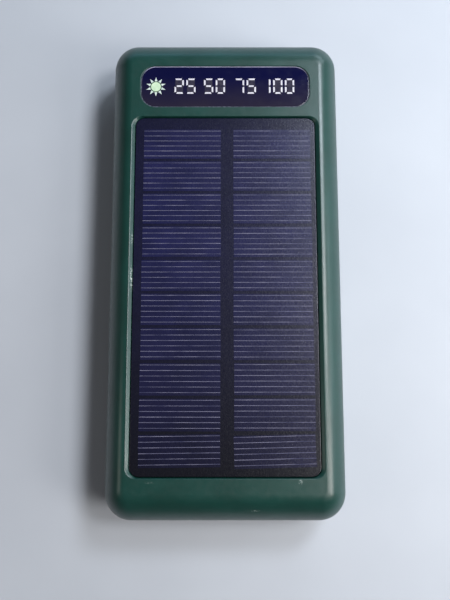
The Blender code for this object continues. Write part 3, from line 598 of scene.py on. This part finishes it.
def rounded_outline(width, length, radius, segments=CORNER_SEGMENTS):
    """A rounded rectangle about (0, 0), anticlockwise from its right side."""
    points = []
    for quarter in range(4):
        sign_x = 1 if quarter in (0, 3) else -1
        sign_y = 1 if quarter in (0, 1) else -1
        centre = Vector((sign_x * (width / 2 - radius), sign_y * (length / 2 - radius)))
        for step in range(segments + 1):
            angle = (quarter + step / segments) * math.pi / 2
            points.append(centre + radius * Vector((math.cos(angle), math.sin(angle))))
    return points


def inset_outlines(width, length, radius, segments=CORNER_SEGMENTS):
    """outline(inset) for a rounded rectangle: its outline this far in all round."""

    def outline(inset):
        return rounded_outline(width - 2 * inset, length - 2 * inset, radius - inset, segments)

    return outline


def pill(width, length):
    return rounded_outline(width, length, width / 2 - PILL_TRIM)


def circle(radius):
    turns = (2 * math.pi * step / ROUND_SEGMENTS for step in range(ROUND_SEGMENTS))
    return [radius * Vector((math.cos(turn), math.sin(turn))) for turn in turns]


def rectangle(width, length, middle=(0.0, 0.0)):
    x, y = middle
    half_x = width / 2
    half_y = length / 2
    corners = ((half_x, half_y), (-half_x, half_y), (-half_x, -half_y), (half_x, -half_y))
    return [Vector((x + dx, y + dy)) for dx, dy in corners]


def add_loft(builder, levels, closed=False, material=0):
    """Adds a skin through (outline, height) levels to a bmesh, capped or joined end to end."""
    rings = [[builder.verts.new((*point, height)) for point in outline] for outline, height in levels]
    pairs = list(zip(rings, rings[1:]))
    faces = []
    if closed:
        pairs.append((rings[-1], rings[0]))
    else:
        faces += [builder.faces.new(rings[0]), builder.faces.new(rings[-1])]
    for lower, upper in pairs:
        for index, vertex in enumerate(lower):
            after = (index + 1) % len(lower)
            faces.append(builder.faces.new((vertex, lower[after], upper[after], upper[index])))
    for face in faces:
        face.material_index = material
    return [vertex for ring in rings for vertex in ring]


def piece_from(builder, name, materials):
    """Closes a bmesh into a shown object."""
    bmesh.ops.recalc_face_normals(builder, faces=builder.faces)
    mesh = bpy.data.meshes.new(name)
    builder.to_mesh(mesh)
    builder.free()
    for material in materials:
        mesh.materials.append(material)
    mesh.shade_smooth()
    mesh.set_sharp_from_angle(angle=SMOOTH_ANGLE)
    piece = bpy.data.objects.new(name, mesh)
    bpy.context.scene.collection.objects.link(piece)
    return piece


def loft(name, levels, material=None, closed=False, at=(0, 0, 0), turn=Matrix.Identity(4)):
    """A piece through (outline, height) levels, or a Boolean's tool where it has no material."""
    builder = bmesh.new()
    vertices = add_loft(builder, levels, closed)
    bmesh.ops.transform(builder, matrix=Matrix.Translation(at) @ turn, verts=vertices)
    return piece_from(builder, name, [material] if material else [])


def prism(name, outline, height, at, turn=Matrix.Identity(4)):
    """A Boolean's tool, with straight sides."""
    return loft(name, [(outline, 0.0), (outline, height)], at=at, turn=turn)


def eased_levels(outline_at, thickness, bevel, steps=4):
    """Levels of a slab whose upper edge is rounded; outline_at(inset) gives its outline."""
    levels = [(outline_at(0.0), 0.0)]
    for step in range(steps + 1):
        angle = math.pi / 2 * step / steps
        inset = bevel * (1 - math.cos(angle))
        levels.append((outline_at(inset), thickness - bevel + bevel * math.sin(angle)))
    return levels


def boolean(piece, tool, operation="DIFFERENCE"):
    """Adds a Boolean, which settle() applies."""
    modifier = piece.modifiers.new(tool.name, "BOOLEAN")
    modifier.operation = operation
    modifier.solver = "EXACT"
    modifier.object = tool


def round_edges(piece, width, above_z):
    """Rounds the piece's sharp edges above a height."""
    builder = bmesh.new()
    builder.from_mesh(piece.data)
    edges = [
        edge
        for edge in builder.edges
        if len(edge.link_faces) == 2
        and edge.calc_face_angle() > EDGE_ANGLE
        and min(vertex.co.z for vertex in edge.verts) > above_z
    ]
    bmesh.ops.bevel(
        builder,
        geom=edges,
        offset=width,
        offset_type="OFFSET",
        segments=3,
        profile=0.5,
        affect="EDGES",
        clamp_overlap=True,
    )
    builder.to_mesh(piece.data)
    builder.free()
    piece.data.shade_smooth()
    piece.data.set_sharp_from_angle(angle=SMOOTH_ANGLE)


def settle(piece):
    """Applies a piece's modifiers and removes the tools that they used."""
    bpy.context.view_layer.update()
    graph = bpy.context.evaluated_depsgraph_get()
    mesh = bpy.data.meshes.new_from_object(piece.evaluated_get(graph), depsgraph=graph)
    tools = {modifier.object for modifier in piece.modifiers if modifier.type == "BOOLEAN"}
    piece.modifiers.clear()
    piece.data = mesh
    mesh.name = piece.name
    for tool in tools:
        bpy.data.objects.remove(tool)


def finish_piece(piece, slot, *nodes, body="case"):
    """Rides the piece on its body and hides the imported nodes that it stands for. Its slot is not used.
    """
    piece.modifiers.new("even_normals", "WEIGHTED_NORMAL").keep_sharp = True
    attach(piece, body)
    if nodes:
        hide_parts(*nodes)


# Shells


def case_outline(inset):
    """The outline this far in from the long sides, and in proportion from the ends."""
    end_inset = inset * END_INSET / EDGE_INSET
    radius = max(CORNER_RADIUS - inset, CREASE_RADIUS)
    return rounded_outline(CASE_SIZE.x - 2 * inset, CASE_SIZE.y - 2 * end_inset, radius)


def arc_levels(middle_inset, middle_height, radius, start, end, segments):
    """(inset, height) steps along an arc, from turn start to turn end."""
    turns = (start + (end - start) * step / segments for step in range(segments + 1))
    return [(middle_inset - radius * math.sin(t), middle_height - radius * math.cos(t)) for t in turns]


def edge_levels(depth, segments):
    """(inset, height) steps up the rounded lower edge of a surface this deep under the skin."""
    shoulder = arc_levels(EDGE_INSET, SHOULDER_RADIUS, SHOULDER_RADIUS - depth, 0, SHOULDER_TURN, segments)
    flank = arc_levels(FLANK_RADIUS, EDGE_RISE, FLANK_RADIUS - depth, SHOULDER_TURN, math.pi / 2, segments)
    return shoulder + flank[1:]


def shell(name, material, upside_down):
    """A shell with a rounded edge, a chamfered seam and an open inside."""
    seam_height = SEAM_Z - SEAM_GAP / 2
    seam = [
        (0.0, seam_height - SEAM_CHAMFER),
        (SEAM_CHAMFER / 2, seam_height),
        (WALL, seam_height),
    ]
    levels = edge_levels(0.0, OUTER_SEGMENTS) + seam + edge_levels(WALL, INNER_SEGMENTS)[::-1]
    if upside_down:
        levels = [(inset, CASE_SIZE.z - height) for inset, height in levels]
    return loft(name, [(case_outline(inset), height) for inset, height in levels], material)


# Gives the outline of the window's pocket, this far in from its wall
window_pocket_outline = inset_outlines(
    WINDOW_SIZE.x + 2 * WINDOW_GAP, WINDOW_SIZE.y + 2 * WINDOW_GAP, WINDOW_CORNER + WINDOW_GAP
)


def notch_tools(owner):
    """The port plate's notch and the button's slot, for one shell."""
    width = PLATE_SIZE.x + NOTCH_MARGIN
    outline = rounded_outline(width, PLATE_SIZE.z + NOTCH_MARGIN, PORT_PLATE_CORNER)
    at = (PLATE_MIDDLE.x, CASE_SIZE.y / 2 - 2 * WALL, PLATE_MIDDLE.z)
    notch = prism(f"{owner}_notch", outline, 4 * WALL, at, TOWARDS_PORTS)
    middle = centre_of("power_button")
    at = (CASE_SIZE.x / 2 - 1.5 * WALL, middle.y, middle.z)
    slot = prism(f"{owner}_slot", pill(*BUTTON_SLOT), 2 * WALL, at, TOWARDS_SIDE)
    return notch, slot


def cut_openings(cover, owner):
    for tool in notch_tools(owner):
        boolean(cover, tool)
    settle(cover)


def panel_pocket_levels(depth):
    """The panel's pocket, whose upper edge slopes out to a lip, and past the housing's face."""

    def outline(gap_x, gap_y):
        radius = PANEL_CORNER + min(gap_x, gap_y)
        return rounded_outline(PANEL_SIZE.x + 2 * gap_x, PANEL_SIZE.y + 2 * gap_y, radius)

    inner = outline(PANEL_GAP, PANEL_GAP)
    lip = outline(PANEL_GAP + PANEL_LIP_SIDE, PANEL_GAP + PANEL_LIP_END)
    return [(inner, 0.0), (inner, depth - PANEL_LIP_DROP), (lip, depth), (lip, 2 * depth)]


def make_front_shell(material):
    cover = shell("front_shell", material, upside_down=True)
    pocket_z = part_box("solar_adhesive")[0].z - POCKET_GAP
    depth = CASE_SIZE.z - pocket_z

    bed = rounded_outline(PANEL_SIZE.x + BED_MARGIN, PANEL_SIZE.y + BED_MARGIN, PANEL_CORNER)
    bed_z = pocket_z - FLOOR_UNDER_PANEL
    bed_height = CASE_SIZE.z - 0.9 * WALL - bed_z
    at = (PANEL_MIDDLE.x, PANEL_MIDDLE.y, bed_z)
    boolean(cover, prism("bed", bed, bed_height, at), "UNION")

    window_pocket_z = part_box("display_mask")[0].z - POCKET_GAP
    rim = rounded_outline(WINDOW_SIZE.x + RIM_MARGIN, WINDOW_SIZE.y + RIM_MARGIN, WINDOW_CORNER)
    at = (WINDOW_MIDDLE.x, WINDOW_MIDDLE.y, window_pocket_z - FLOOR_UNDER_WINDOW)
    boolean(cover, prism("window_rim", rim, FLOOR_UNDER_WINDOW, at), "UNION")

    at = (PANEL_MIDDLE.x, PANEL_MIDDLE.y, pocket_z)
    boolean(cover, loft("panel_pocket", panel_pocket_levels(depth), at=at))
    at = (WINDOW_MIDDLE.x, WINDOW_MIDDLE.y, window_pocket_z)
    boolean(cover, prism("window_pocket", window_pocket_outline(0.0), 2 * depth, at))
    settle(cover)

    round_edges(cover, LIP_ROUNDING, CASE_SIZE.z - LIP_REACH)
    cut_openings(cover, "front")
    finish_piece(cover, "green_plastic", "front_cover")


def make_rear_shell(material):
    cover = shell("rear_shell", material, upside_down=False)
    cut_openings(cover, "rear")
    finish_piece(cover, "green_plastic", "rear_cover")


# Solar panel


def make_panel_resin(material):
    """The black board and the clear layer over it, as one slab."""
    outlines = inset_outlines(PANEL_SIZE.x, PANEL_SIZE.y, PANEL_CORNER)
    low_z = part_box("solar_board")[0].z
    thickness = PANEL_TOP_Z - RESIN_SINK - low_z
    levels = eased_levels(outlines, thickness, RESIN_BEVEL)
    at = (PANEL_MIDDLE.x, PANEL_MIDDLE.y, low_z)
    resin = loft("panel_resin", levels, material, at=at)
    finish_piece(resin, "black_board", "solar_board", "solar_encapsulant")


def make_cell(node, materials, chance):
    """One cell, slightly off square, with its printed fingers."""
    size = size_of(node)
    middle = centre_of(node)
    builder = bmesh.new()
    top_z = PANEL_TOP_Z - CELL_SINK
    plate = rounded_outline(size.x, size.y, CELL_CORNER, 3)
    vertices = add_loft(builder, [(plate, top_z - CELL_THICKNESS), (plate, top_z)])
    for finger in range(FINGERS):
        y = size.y / 2 - FIRST_FINGER - finger * FINGER_PITCH
        waver = chance.uniform(-FINGER_WAVER, FINGER_WAVER)
        width = FINGER_WIDTH * chance.uniform(*FINGER_WIDTHS)
        strip = rectangle(size.x - FINGER_SHORTFALL, width, (0, y + waver))
        levels = [(strip, top_z - FINGER_HEIGHT), (strip, top_z + FINGER_HEIGHT)]
        vertices += add_loft(builder, levels, material=1)
    turn = LOOSE_CELL_TURNS.get(node, chance.uniform(-CELL_TURN, CELL_TURN))
    shift_x = chance.uniform(-CELL_SHIFT, CELL_SHIFT)
    shift_y = chance.uniform(-CELL_SHIFT, CELL_SHIFT)
    placing = Matrix.Translation((middle.x + shift_x, middle.y + shift_y, 0))
    placing @= Matrix.Rotation(math.radians(turn), 4, "Z")
    bmesh.ops.transform(builder, matrix=placing, verts=vertices)
    cell = piece_from(builder, node + "_face", materials)
    finish_piece(cell, "silicon", node)


# Display


STROKE_PATHS = {  # start corner, end corner, and the strokes that meet it at each
    "a": ((0, 2), (1, 2), "f", "b"),
    "b": ((1, 2), (1, 1), "a", "g"),
    "c": ((1, 1), (1, 0), "g", "d"),
    "d": ((1, 0), (0, 0), "c", "e"),
    "e": ((0, 0), (0, 1), "d", "g"),
    "f": ((0, 1), (0, 2), "g", "a"),
    "g": ((0, 1), (1, 1), "ef", "bc"),
}


def stroke_outline(stroke, lit):
    """One stroke of a seven-stroke figure whose lower left corner is at (0, 0)."""
    first, last, before, after = STROKE_PATHS[stroke]
    start, end = (Vector((x * DIGIT_WIDTH, y * DIGIT_HEIGHT / 2)) for x, y in (first, last))
    along = (end - start).normalized()
    level = abs(along.x) > 0.5
    outward = Vector((-along.y, along.x))
    ends = []
    for corner, meeting in ((first, before), (last, after)):
        halfway = corner[1] == 1 and not level
        if halfway or set(meeting) & set(lit):
            ends.append(LEVEL_GAP if level else UPRIGHT_GAP)
        else:
            ends.append(OPEN_GAP)
    mitre = 0.0 if stroke == "g" else STROKE_MITRE
    half = STROKE_WIDTH / 2
    return [
        start + along * (ends[0] - mitre) + outward * half,
        end - along * (ends[1] - mitre) + outward * half,
        end - along * (ends[1] + mitre) - outward * half,
        start + along * (ends[0] + mitre) - outward * half,
    ]


def figure_layout(text):
    """(digit, x of its left edge from the figure's own) for each digit."""
    x = 0.0
    for digit in text:
        yield digit, x
        x += ONE_PITCH if digit == "1" else DIGIT_PITCH


def make_window(material):
    outlines = inset_outlines(WINDOW_SIZE.x, WINDOW_SIZE.y, WINDOW_CORNER)
    levels = eased_levels(outlines, WINDOW_SIZE.z, WINDOW_BEVEL)
    at = (WINDOW_MIDDLE.x, WINDOW_MIDDLE.y, WINDOW_TOP_Z - WINDOW_SIZE.z)
    finish_piece(loft("window_pane", levels, material, at=at), "smoked_plastic", "display_window")


def make_glue_line(material):
    """A thin bead of glue in the gap round the window, with a painted highlight along its upper edge."""
    levels = [(window_pocket_outline(inset), height) for inset, height in GLUE_PROFILE]
    at = (WINDOW_MIDDLE.x, WINDOW_MIDDLE.y, WINDOW_TOP_Z - GLUE_SINK)
    finish_piece(loft("window_glue_and_highlight", levels, material, closed=True, at=at), "clear_resin")


def make_figure(text, left, lit, film):
    """One number: its lit strokes, and the film between them, painted lighter where their light spills."""
    base_z = WINDOW_TOP_Z + FIGURE_RAISE / 2
    low_y = DISPLAY_MIDDLE.y - DIGIT_HEIGHT / 2
    lit_builder = bmesh.new()
    film_builder = bmesh.new()
    for digit, x in figure_layout(text):
        strokes = LIT_STROKES[digit]
        for stroke in strokes:
            outline = [point + Vector((left + x, low_y)) for point in stroke_outline(stroke, strokes)]
            add_loft(lit_builder, [(outline, base_z), (outline, base_z + FIGURE_RAISE)])
        # painted light: a lighter film patch inside the digit where the strokes' light spills
        if digit in SPILL_FILM_DIGITS:
            middle = Vector((left + x + DIGIT_WIDTH / 2, DISPLAY_MIDDLE.y))
            patch = rounded_outline(DIGIT_WIDTH, DIGIT_HEIGHT, STROKE_WIDTH, 3)
            patch = [point + middle for point in patch]
            add_loft(film_builder, [(patch, base_z - FIGURE_RAISE), (patch, base_z)])
    finish_piece(piece_from(lit_builder, f"figure_{text}", [lit]), "led_resin")
    finish_piece(piece_from(film_builder, f"figure_{text}_film", [film]), "display_mask")


def make_sun(rays, disc, ring):
    """A plain lit sun: a disc, a dark ring and its rays."""
    middle = Vector((SUN_X, DISPLAY_MIDDLE.y - SUN_DROP))
    base_z = WINDOW_TOP_Z + FIGURE_RAISE / 2

    def around(radius, angle):
        return middle + radius * Vector((math.cos(angle), math.sin(angle)))

    builder = bmesh.new()
    for ray in range(SUN_RAYS):
        angle = math.pi / 2 + 2 * math.pi * ray / SUN_RAYS
        outline = [
            around(SUN_RAY_FOOT, angle - SUN_RAY_HALF_WIDTH),
            around(SUN_RAY_TIP, angle),
            around(SUN_RAY_FOOT, angle + SUN_RAY_HALF_WIDTH),
        ]
        add_loft(builder, [(outline, base_z), (outline, base_z + FIGURE_RAISE)])
    finish_piece(piece_from(builder, "sun_rays", [rays]), "led_resin")
    for name, radius, material, slot, rise in (
        ("sun_ring", SUN_RING, ring, "display_mask", 0.0),
        ("sun_disc", SUN_DISC, disc, "led_resin", FIGURE_RAISE / 2),
    ):
        outline = [point + middle for point in circle(radius)]
        levels = [(outline, base_z - FIGURE_RAISE), (outline, base_z + rise)]
        finish_piece(loft(name, levels, material), slot)


# Ports


def mouth_tool(node, corner):
    """A cutter for one hole in the port plate, flared towards the plate's face."""
    size = size_of(node)
    middle = centre_of(node)
    outlines = inset_outlines(size.x, size.z, corner, SOCKET_SEGMENTS)
    length = 2 * PLATE_SIZE.y
    levels = [
        (outlines(-MOUTH_MARGIN), 0.0),
        (outlines(-MOUTH_MARGIN), length - MOUTH_FLARE),
        (outlines(-MOUTH_MARGIN - MOUTH_FLARE), length),
        (outlines(-MOUTH_MARGIN - 2 * MOUTH_FLARE), length + MOUTH_FLARE),
    ]
    at = (middle.x, PLATE_FACE_Y - length, middle.z)
    return loft(f"{node}_mouth", levels, at=at, turn=TOWARDS_PORTS)


def make_port_plate(material):
    outlines = inset_outlines(PLATE_SIZE.x, PLATE_SIZE.z, PORT_PLATE_CORNER)
    levels = eased_levels(outlines, PLATE_SIZE.y, PORT_BEVEL)
    at = (PLATE_MIDDLE.x, PLATE_FACE_Y - PLATE_SIZE.y, PLATE_MIDDLE.z)
    plate = loft("port_plate_face", levels, material, at=at, turn=TOWARDS_PORTS)
    for node, corner in (
        ("usb_a_left_shell", USB_A_CORNER),
        ("usb_a_right_shell", USB_A_CORNER),
        ("usb_c_shell", USB_C_CORNER),
        ("torch_lens", size_of("torch_lens").x / 2 - PILL_TRIM),
    ):
        boolean(plate, mouth_tool(node, corner))
    settle(plate)
    finish_piece(plate, "black_plastic", "port_plate")


def make_socket_shell(node, corner, sheet, material):
    """A bent sheet-metal socket with a softly flared mouth."""
    size = size_of(node)
    middle = centre_of(node)
    outlines = inset_outlines(size.x, size.z, corner, SOCKET_SEGMENTS)
    flare = 0.4 * sheet
    levels = [
        (outlines(0.0), 0.0),
        (outlines(0.0), size.y - flare),
        (outlines(0.3 * sheet), size.y),
        (outlines(0.7 * sheet), size.y),
        (outlines(sheet), size.y - flare),
        (outlines(sheet), 0.0),
    ]
    at = (middle.x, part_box(node)[0].y, middle.z)
    socket = loft(f"{node}_sheet", levels, material, closed=True, at=at, turn=TOWARDS_PORTS)
    finish_piece(socket, "plated_steel", node)


def make_contacts(node, places, strip, both_sides, material):
    """Gold strips along a socket's tongue, on its underside or on both sides."""
    low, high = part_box(node)
    middle = centre_of(node)
    width, reach = strip
    builder = bmesh.new()
    for z in (low.z, high.z) if both_sides else (low.z,):
        for x in places:
            outline = rectangle(width, reach, (middle.x + x, high.y - CONTACT_SET_BACK - reach / 2))
            add_loft(builder, [(outline, z - CONTACT_RAISE), (outline, z + CONTACT_RAISE)])
    contacts = piece_from(builder, node.replace("_tongue", "_contacts"), [material])
    finish_piece(contacts, "plated_steel")


# Torch and button


def make_torch_lens(material):
    low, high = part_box("torch_lens")
    middle = centre_of("torch_lens")
    radius = size_of("torch_lens").x / 2
    thickness = high.y - low.y
    edge = LENS_EDGE_SHARE * thickness
    levels = [(circle(radius), 0.0)]
    for step in range(LENS_STEPS + 1):
        angle = LENS_SWEEP * step / LENS_STEPS
        height = edge + (thickness - edge) * math.sin(angle)
        levels.append((circle(radius * math.cos(angle)), height))
    at = (middle.x, low.y, middle.z)
    lens = loft("torch_dome", levels, material, at=at, turn=TOWARDS_PORTS)
    finish_piece(lens, "clear_plastic", "torch_lens")


def make_torch_cup(material):
    """The parabolic reflector round the lamp."""
    low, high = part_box("torch_reflector")
    middle = centre_of("torch_reflector")
    depth = high.y - low.y
    mouth = size_of("torch_reflector").x / 2 - CUP_WALL
    inside = []
    for step in range(CUP_STEPS + 1):
        share = step / CUP_STEPS
        inside.append((CUP_THROAT + (mouth - CUP_THROAT) * math.sqrt(share), depth * share))
    outside = [(radius + CUP_WALL, height) for radius, height in reversed(inside)]
    levels = [(circle(radius), height) for radius, height in inside + outside]
    at = (middle.x, low.y, middle.z)
    cup = loft("torch_cup", levels, material, closed=True, at=at, turn=TOWARDS_PORTS)
    finish_piece(cup, "bright_plating", "torch_reflector")


def make_torch_lamp(material):
    """The lamp: a flanged foot, a short barrel and a rounded tip."""
    low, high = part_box("torch_led")
    middle = centre_of("torch_led")
    foot = size_of("torch_led").x / 2
    shoulder = high.y - low.y - LED_RADIUS
    levels = [(foot, 0.0), (foot, LED_RADIUS), (LED_RADIUS, LED_RADIUS)]
    for step in range(LED_STEPS + 1):
        angle = LED_SWEEP * step / LED_STEPS
        levels.append((LED_RADIUS * math.cos(angle), shoulder + LED_RADIUS * math.sin(angle)))
    at = (middle.x, low.y, middle.z)
    rings = [(circle(radius), height) for radius, height in levels]
    finish_piece(loft("torch_lamp", rings, material, at=at, turn=TOWARDS_PORTS), "led_resin", "torch_led")


def make_button(material):
    """The pill-shaped button: stem, flange, and a cap with a rounded edge and a dished face."""
    low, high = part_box("power_button")
    middle = centre_of("power_button")
    size = size_of("power_button")
    reach = high.x - low.x

    def cap_outline(inset):
        return pill(BUTTON_CAP[0] - 2 * inset, BUTTON_CAP[1] - 2 * inset)

    flange_top = BUTTON_STEM_LENGTH + BUTTON_FLANGE_THICKNESS
    levels = [
        (pill(*BUTTON_STEM), 0.0),
        (pill(*BUTTON_STEM), BUTTON_STEM_LENGTH),
        (pill(size.z, size.y), BUTTON_STEM_LENGTH),
        (pill(size.z, size.y), flange_top),
        (pill(*BUTTON_CAP), flange_top),
    ]
    for step in range(BUTTON_STEPS + 1):
        angle = math.pi / 2 * step / BUTTON_STEPS
        inset = BUTTON_ROUNDING * (1 - math.cos(angle))
        levels.append((cap_outline(inset), reach - BUTTON_ROUNDING * (1 - math.sin(angle))))
    for step in range(1, BUTTON_STEPS + 1):
        share = step / BUTTON_STEPS
        inset = BUTTON_ROUNDING + (BUTTON_DISH_SHARE * BUTTON_CAP[0] / 2 - BUTTON_ROUNDING) * share
        levels.append((cap_outline(inset), reach - BUTTON_DISH * math.sin(math.pi / 2 * share)))
    at = (low.x, middle.y, middle.z)
    cap = loft("button_cap", levels, material, at=at, turn=TOWARDS_SIDE)
    finish_piece(cap, "button_plastic", "power_button", body="button")


# Studio


def add_lights():
    for name, (location, size, watts, colour) in LIGHTS.items():
        light = bpy.data.lights.new(name, "AREA")
        light.shape = "RECTANGLE"
        light.size, light.size_y = size
        light.energy = watts
        light.color = colour
        lamp = bpy.data.objects.new(name, light)
        bpy.context.scene.collection.objects.link(lamp)
        lamp.location = location
        direction = LIGHT_TARGET - lamp.location
        lamp.rotation_euler = direction.to_track_quat("-Z", "Y").to_euler()


def floor_paint():
    paint = Paint("floor_paint", (0.5, 0.52, 0.56), 0.75)
    paint.colour(paint.wander(paint.noise(60 * MM, 3), (0.48, 0.5, 0.54), (0.52, 0.54, 0.58)))
    return paint.material


def make_floor():
    builder = bmesh.new()
    outline = rectangle(FLOOR_SIDE, FLOOR_SIDE)
    add_loft(builder, [(outline, -FLOOR_THICKNESS), (outline, -FLOOR_GAP)])
    piece_from(builder, "floor", [floor_paint()])


def make_world():
    world = bpy.data.worlds.new("studio")
    bpy.context.scene.world = world
    world.use_nodes = True
    background = world.node_tree.nodes["Background"]
    background.inputs["Color"].default_value = WORLD_COLOUR
    background.inputs["Strength"].default_value = WORLD_STRENGTH


def make_camera():
    """Straight above the lower half, tilted a little towards the display end."""
    camera = bpy.data.cameras.new("camera")
    camera.lens = CAMERA_LENS
    camera.sensor_width = SENSOR_WIDTH
    camera.clip_start = CLIP_START
    holder = bpy.data.objects.new("camera", camera)
    bpy.context.scene.collection.objects.link(holder)
    holder.location = CAMERA_PLACE
    holder.rotation_euler = (CAMERA_TILT, 0, 0)
    bpy.context.scene.camera = holder
    bpy.context.scene.view_settings.view_transform = "Standard"


def paint_carried_nodes():
    """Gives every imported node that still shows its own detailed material."""
    made = {
        "black_plastic": MATERIALS["black_plastic"],
        "socket_plastic": MATERIALS["black_plastic"],
        "button_plastic": MATERIALS["black_plastic"],
        "plated_steel": MATERIALS["plated_steel"],
        "bright_plating": MATERIALS["bright_plating"],
        "led_resin": MATERIALS["led_resin"],
        "clear_plastic": MATERIALS["clear_lens"],
    }
    for subpart in frame["record"]["subparts"]:
        node = frame["nodes"][subpart["node"]]
        if node.hide_render:
            continue
        slot = subpart["material_slot"]
        if slot not in made:
            made[slot] = plain_finish(slot)
        node.data.materials.clear()
        node.data.materials.append(made[slot])


MATERIALS = {
    "green_plastic": green_plastic(),
    "black_resin": black_resin(),
    "silicon": silicon(),
    "silver_print": silver_print(),
    "smoked_plastic": smoked_plastic(),
    "film_with_painted_spill": film_with_painted_spill(),
    "black_plastic": black_plastic(),
    "plated_steel": plated_steel(),
    "gold_contact": gold_contact(),
    "bright_plating": bright_plating(),
    "clear_lens": clear_lens(),
    "led_resin": led_resin(),
}


def main():
    make_camera()
    make_world()
    make_floor()
    add_lights()

    make_front_shell(MATERIALS["green_plastic"])
    make_rear_shell(MATERIALS["green_plastic"])

    make_panel_resin(MATERIALS["black_resin"])
    chance = random.Random(CHANCE_SEED)
    cells = sorted(name for name in frame["nodes"] if name.startswith("solar_cell_"))
    for node in cells:
        make_cell(node, [MATERIALS["silicon"], MATERIALS["silver_print"]], chance)

    make_window(MATERIALS["smoked_plastic"])
    make_glue_line(glue_with_highlight())
    lit = lit_print("lit_white", srgb(244, 242, 250), srgb(218, 214, 228))
    for text, left in FIGURES.items():
        make_figure(text, left, lit, MATERIALS["film_with_painted_spill"])
    disc = lit_print("lit_green", srgb(222, 246, 212), srgb(202, 232, 196))
    make_sun(lit_print("lit_pale", srgb(232, 244, 236), srgb(208, 226, 220)), disc, ring_print())

    make_port_plate(MATERIALS["black_plastic"])
    gold = MATERIALS["gold_contact"]
    for side in ("left", "right"):
        make_socket_shell(f"usb_a_{side}_shell", USB_A_CORNER, USB_A_SHEET, MATERIALS["plated_steel"])
        make_contacts(f"usb_a_{side}_tongue", USB_A_CONTACTS, USB_A_CONTACT, False, gold)
    make_socket_shell("usb_c_shell", USB_C_CORNER, USB_C_SHEET, MATERIALS["plated_steel"])
    make_contacts("usb_c_tongue", USB_C_CONTACTS, USB_C_CONTACT, True, gold)

    make_torch_lens(MATERIALS["clear_lens"])
    make_torch_cup(MATERIALS["bright_plating"])
    make_torch_lamp(MATERIALS["led_resin"])
    make_button(MATERIALS["black_plastic"])

    paint_carried_nodes()


main()
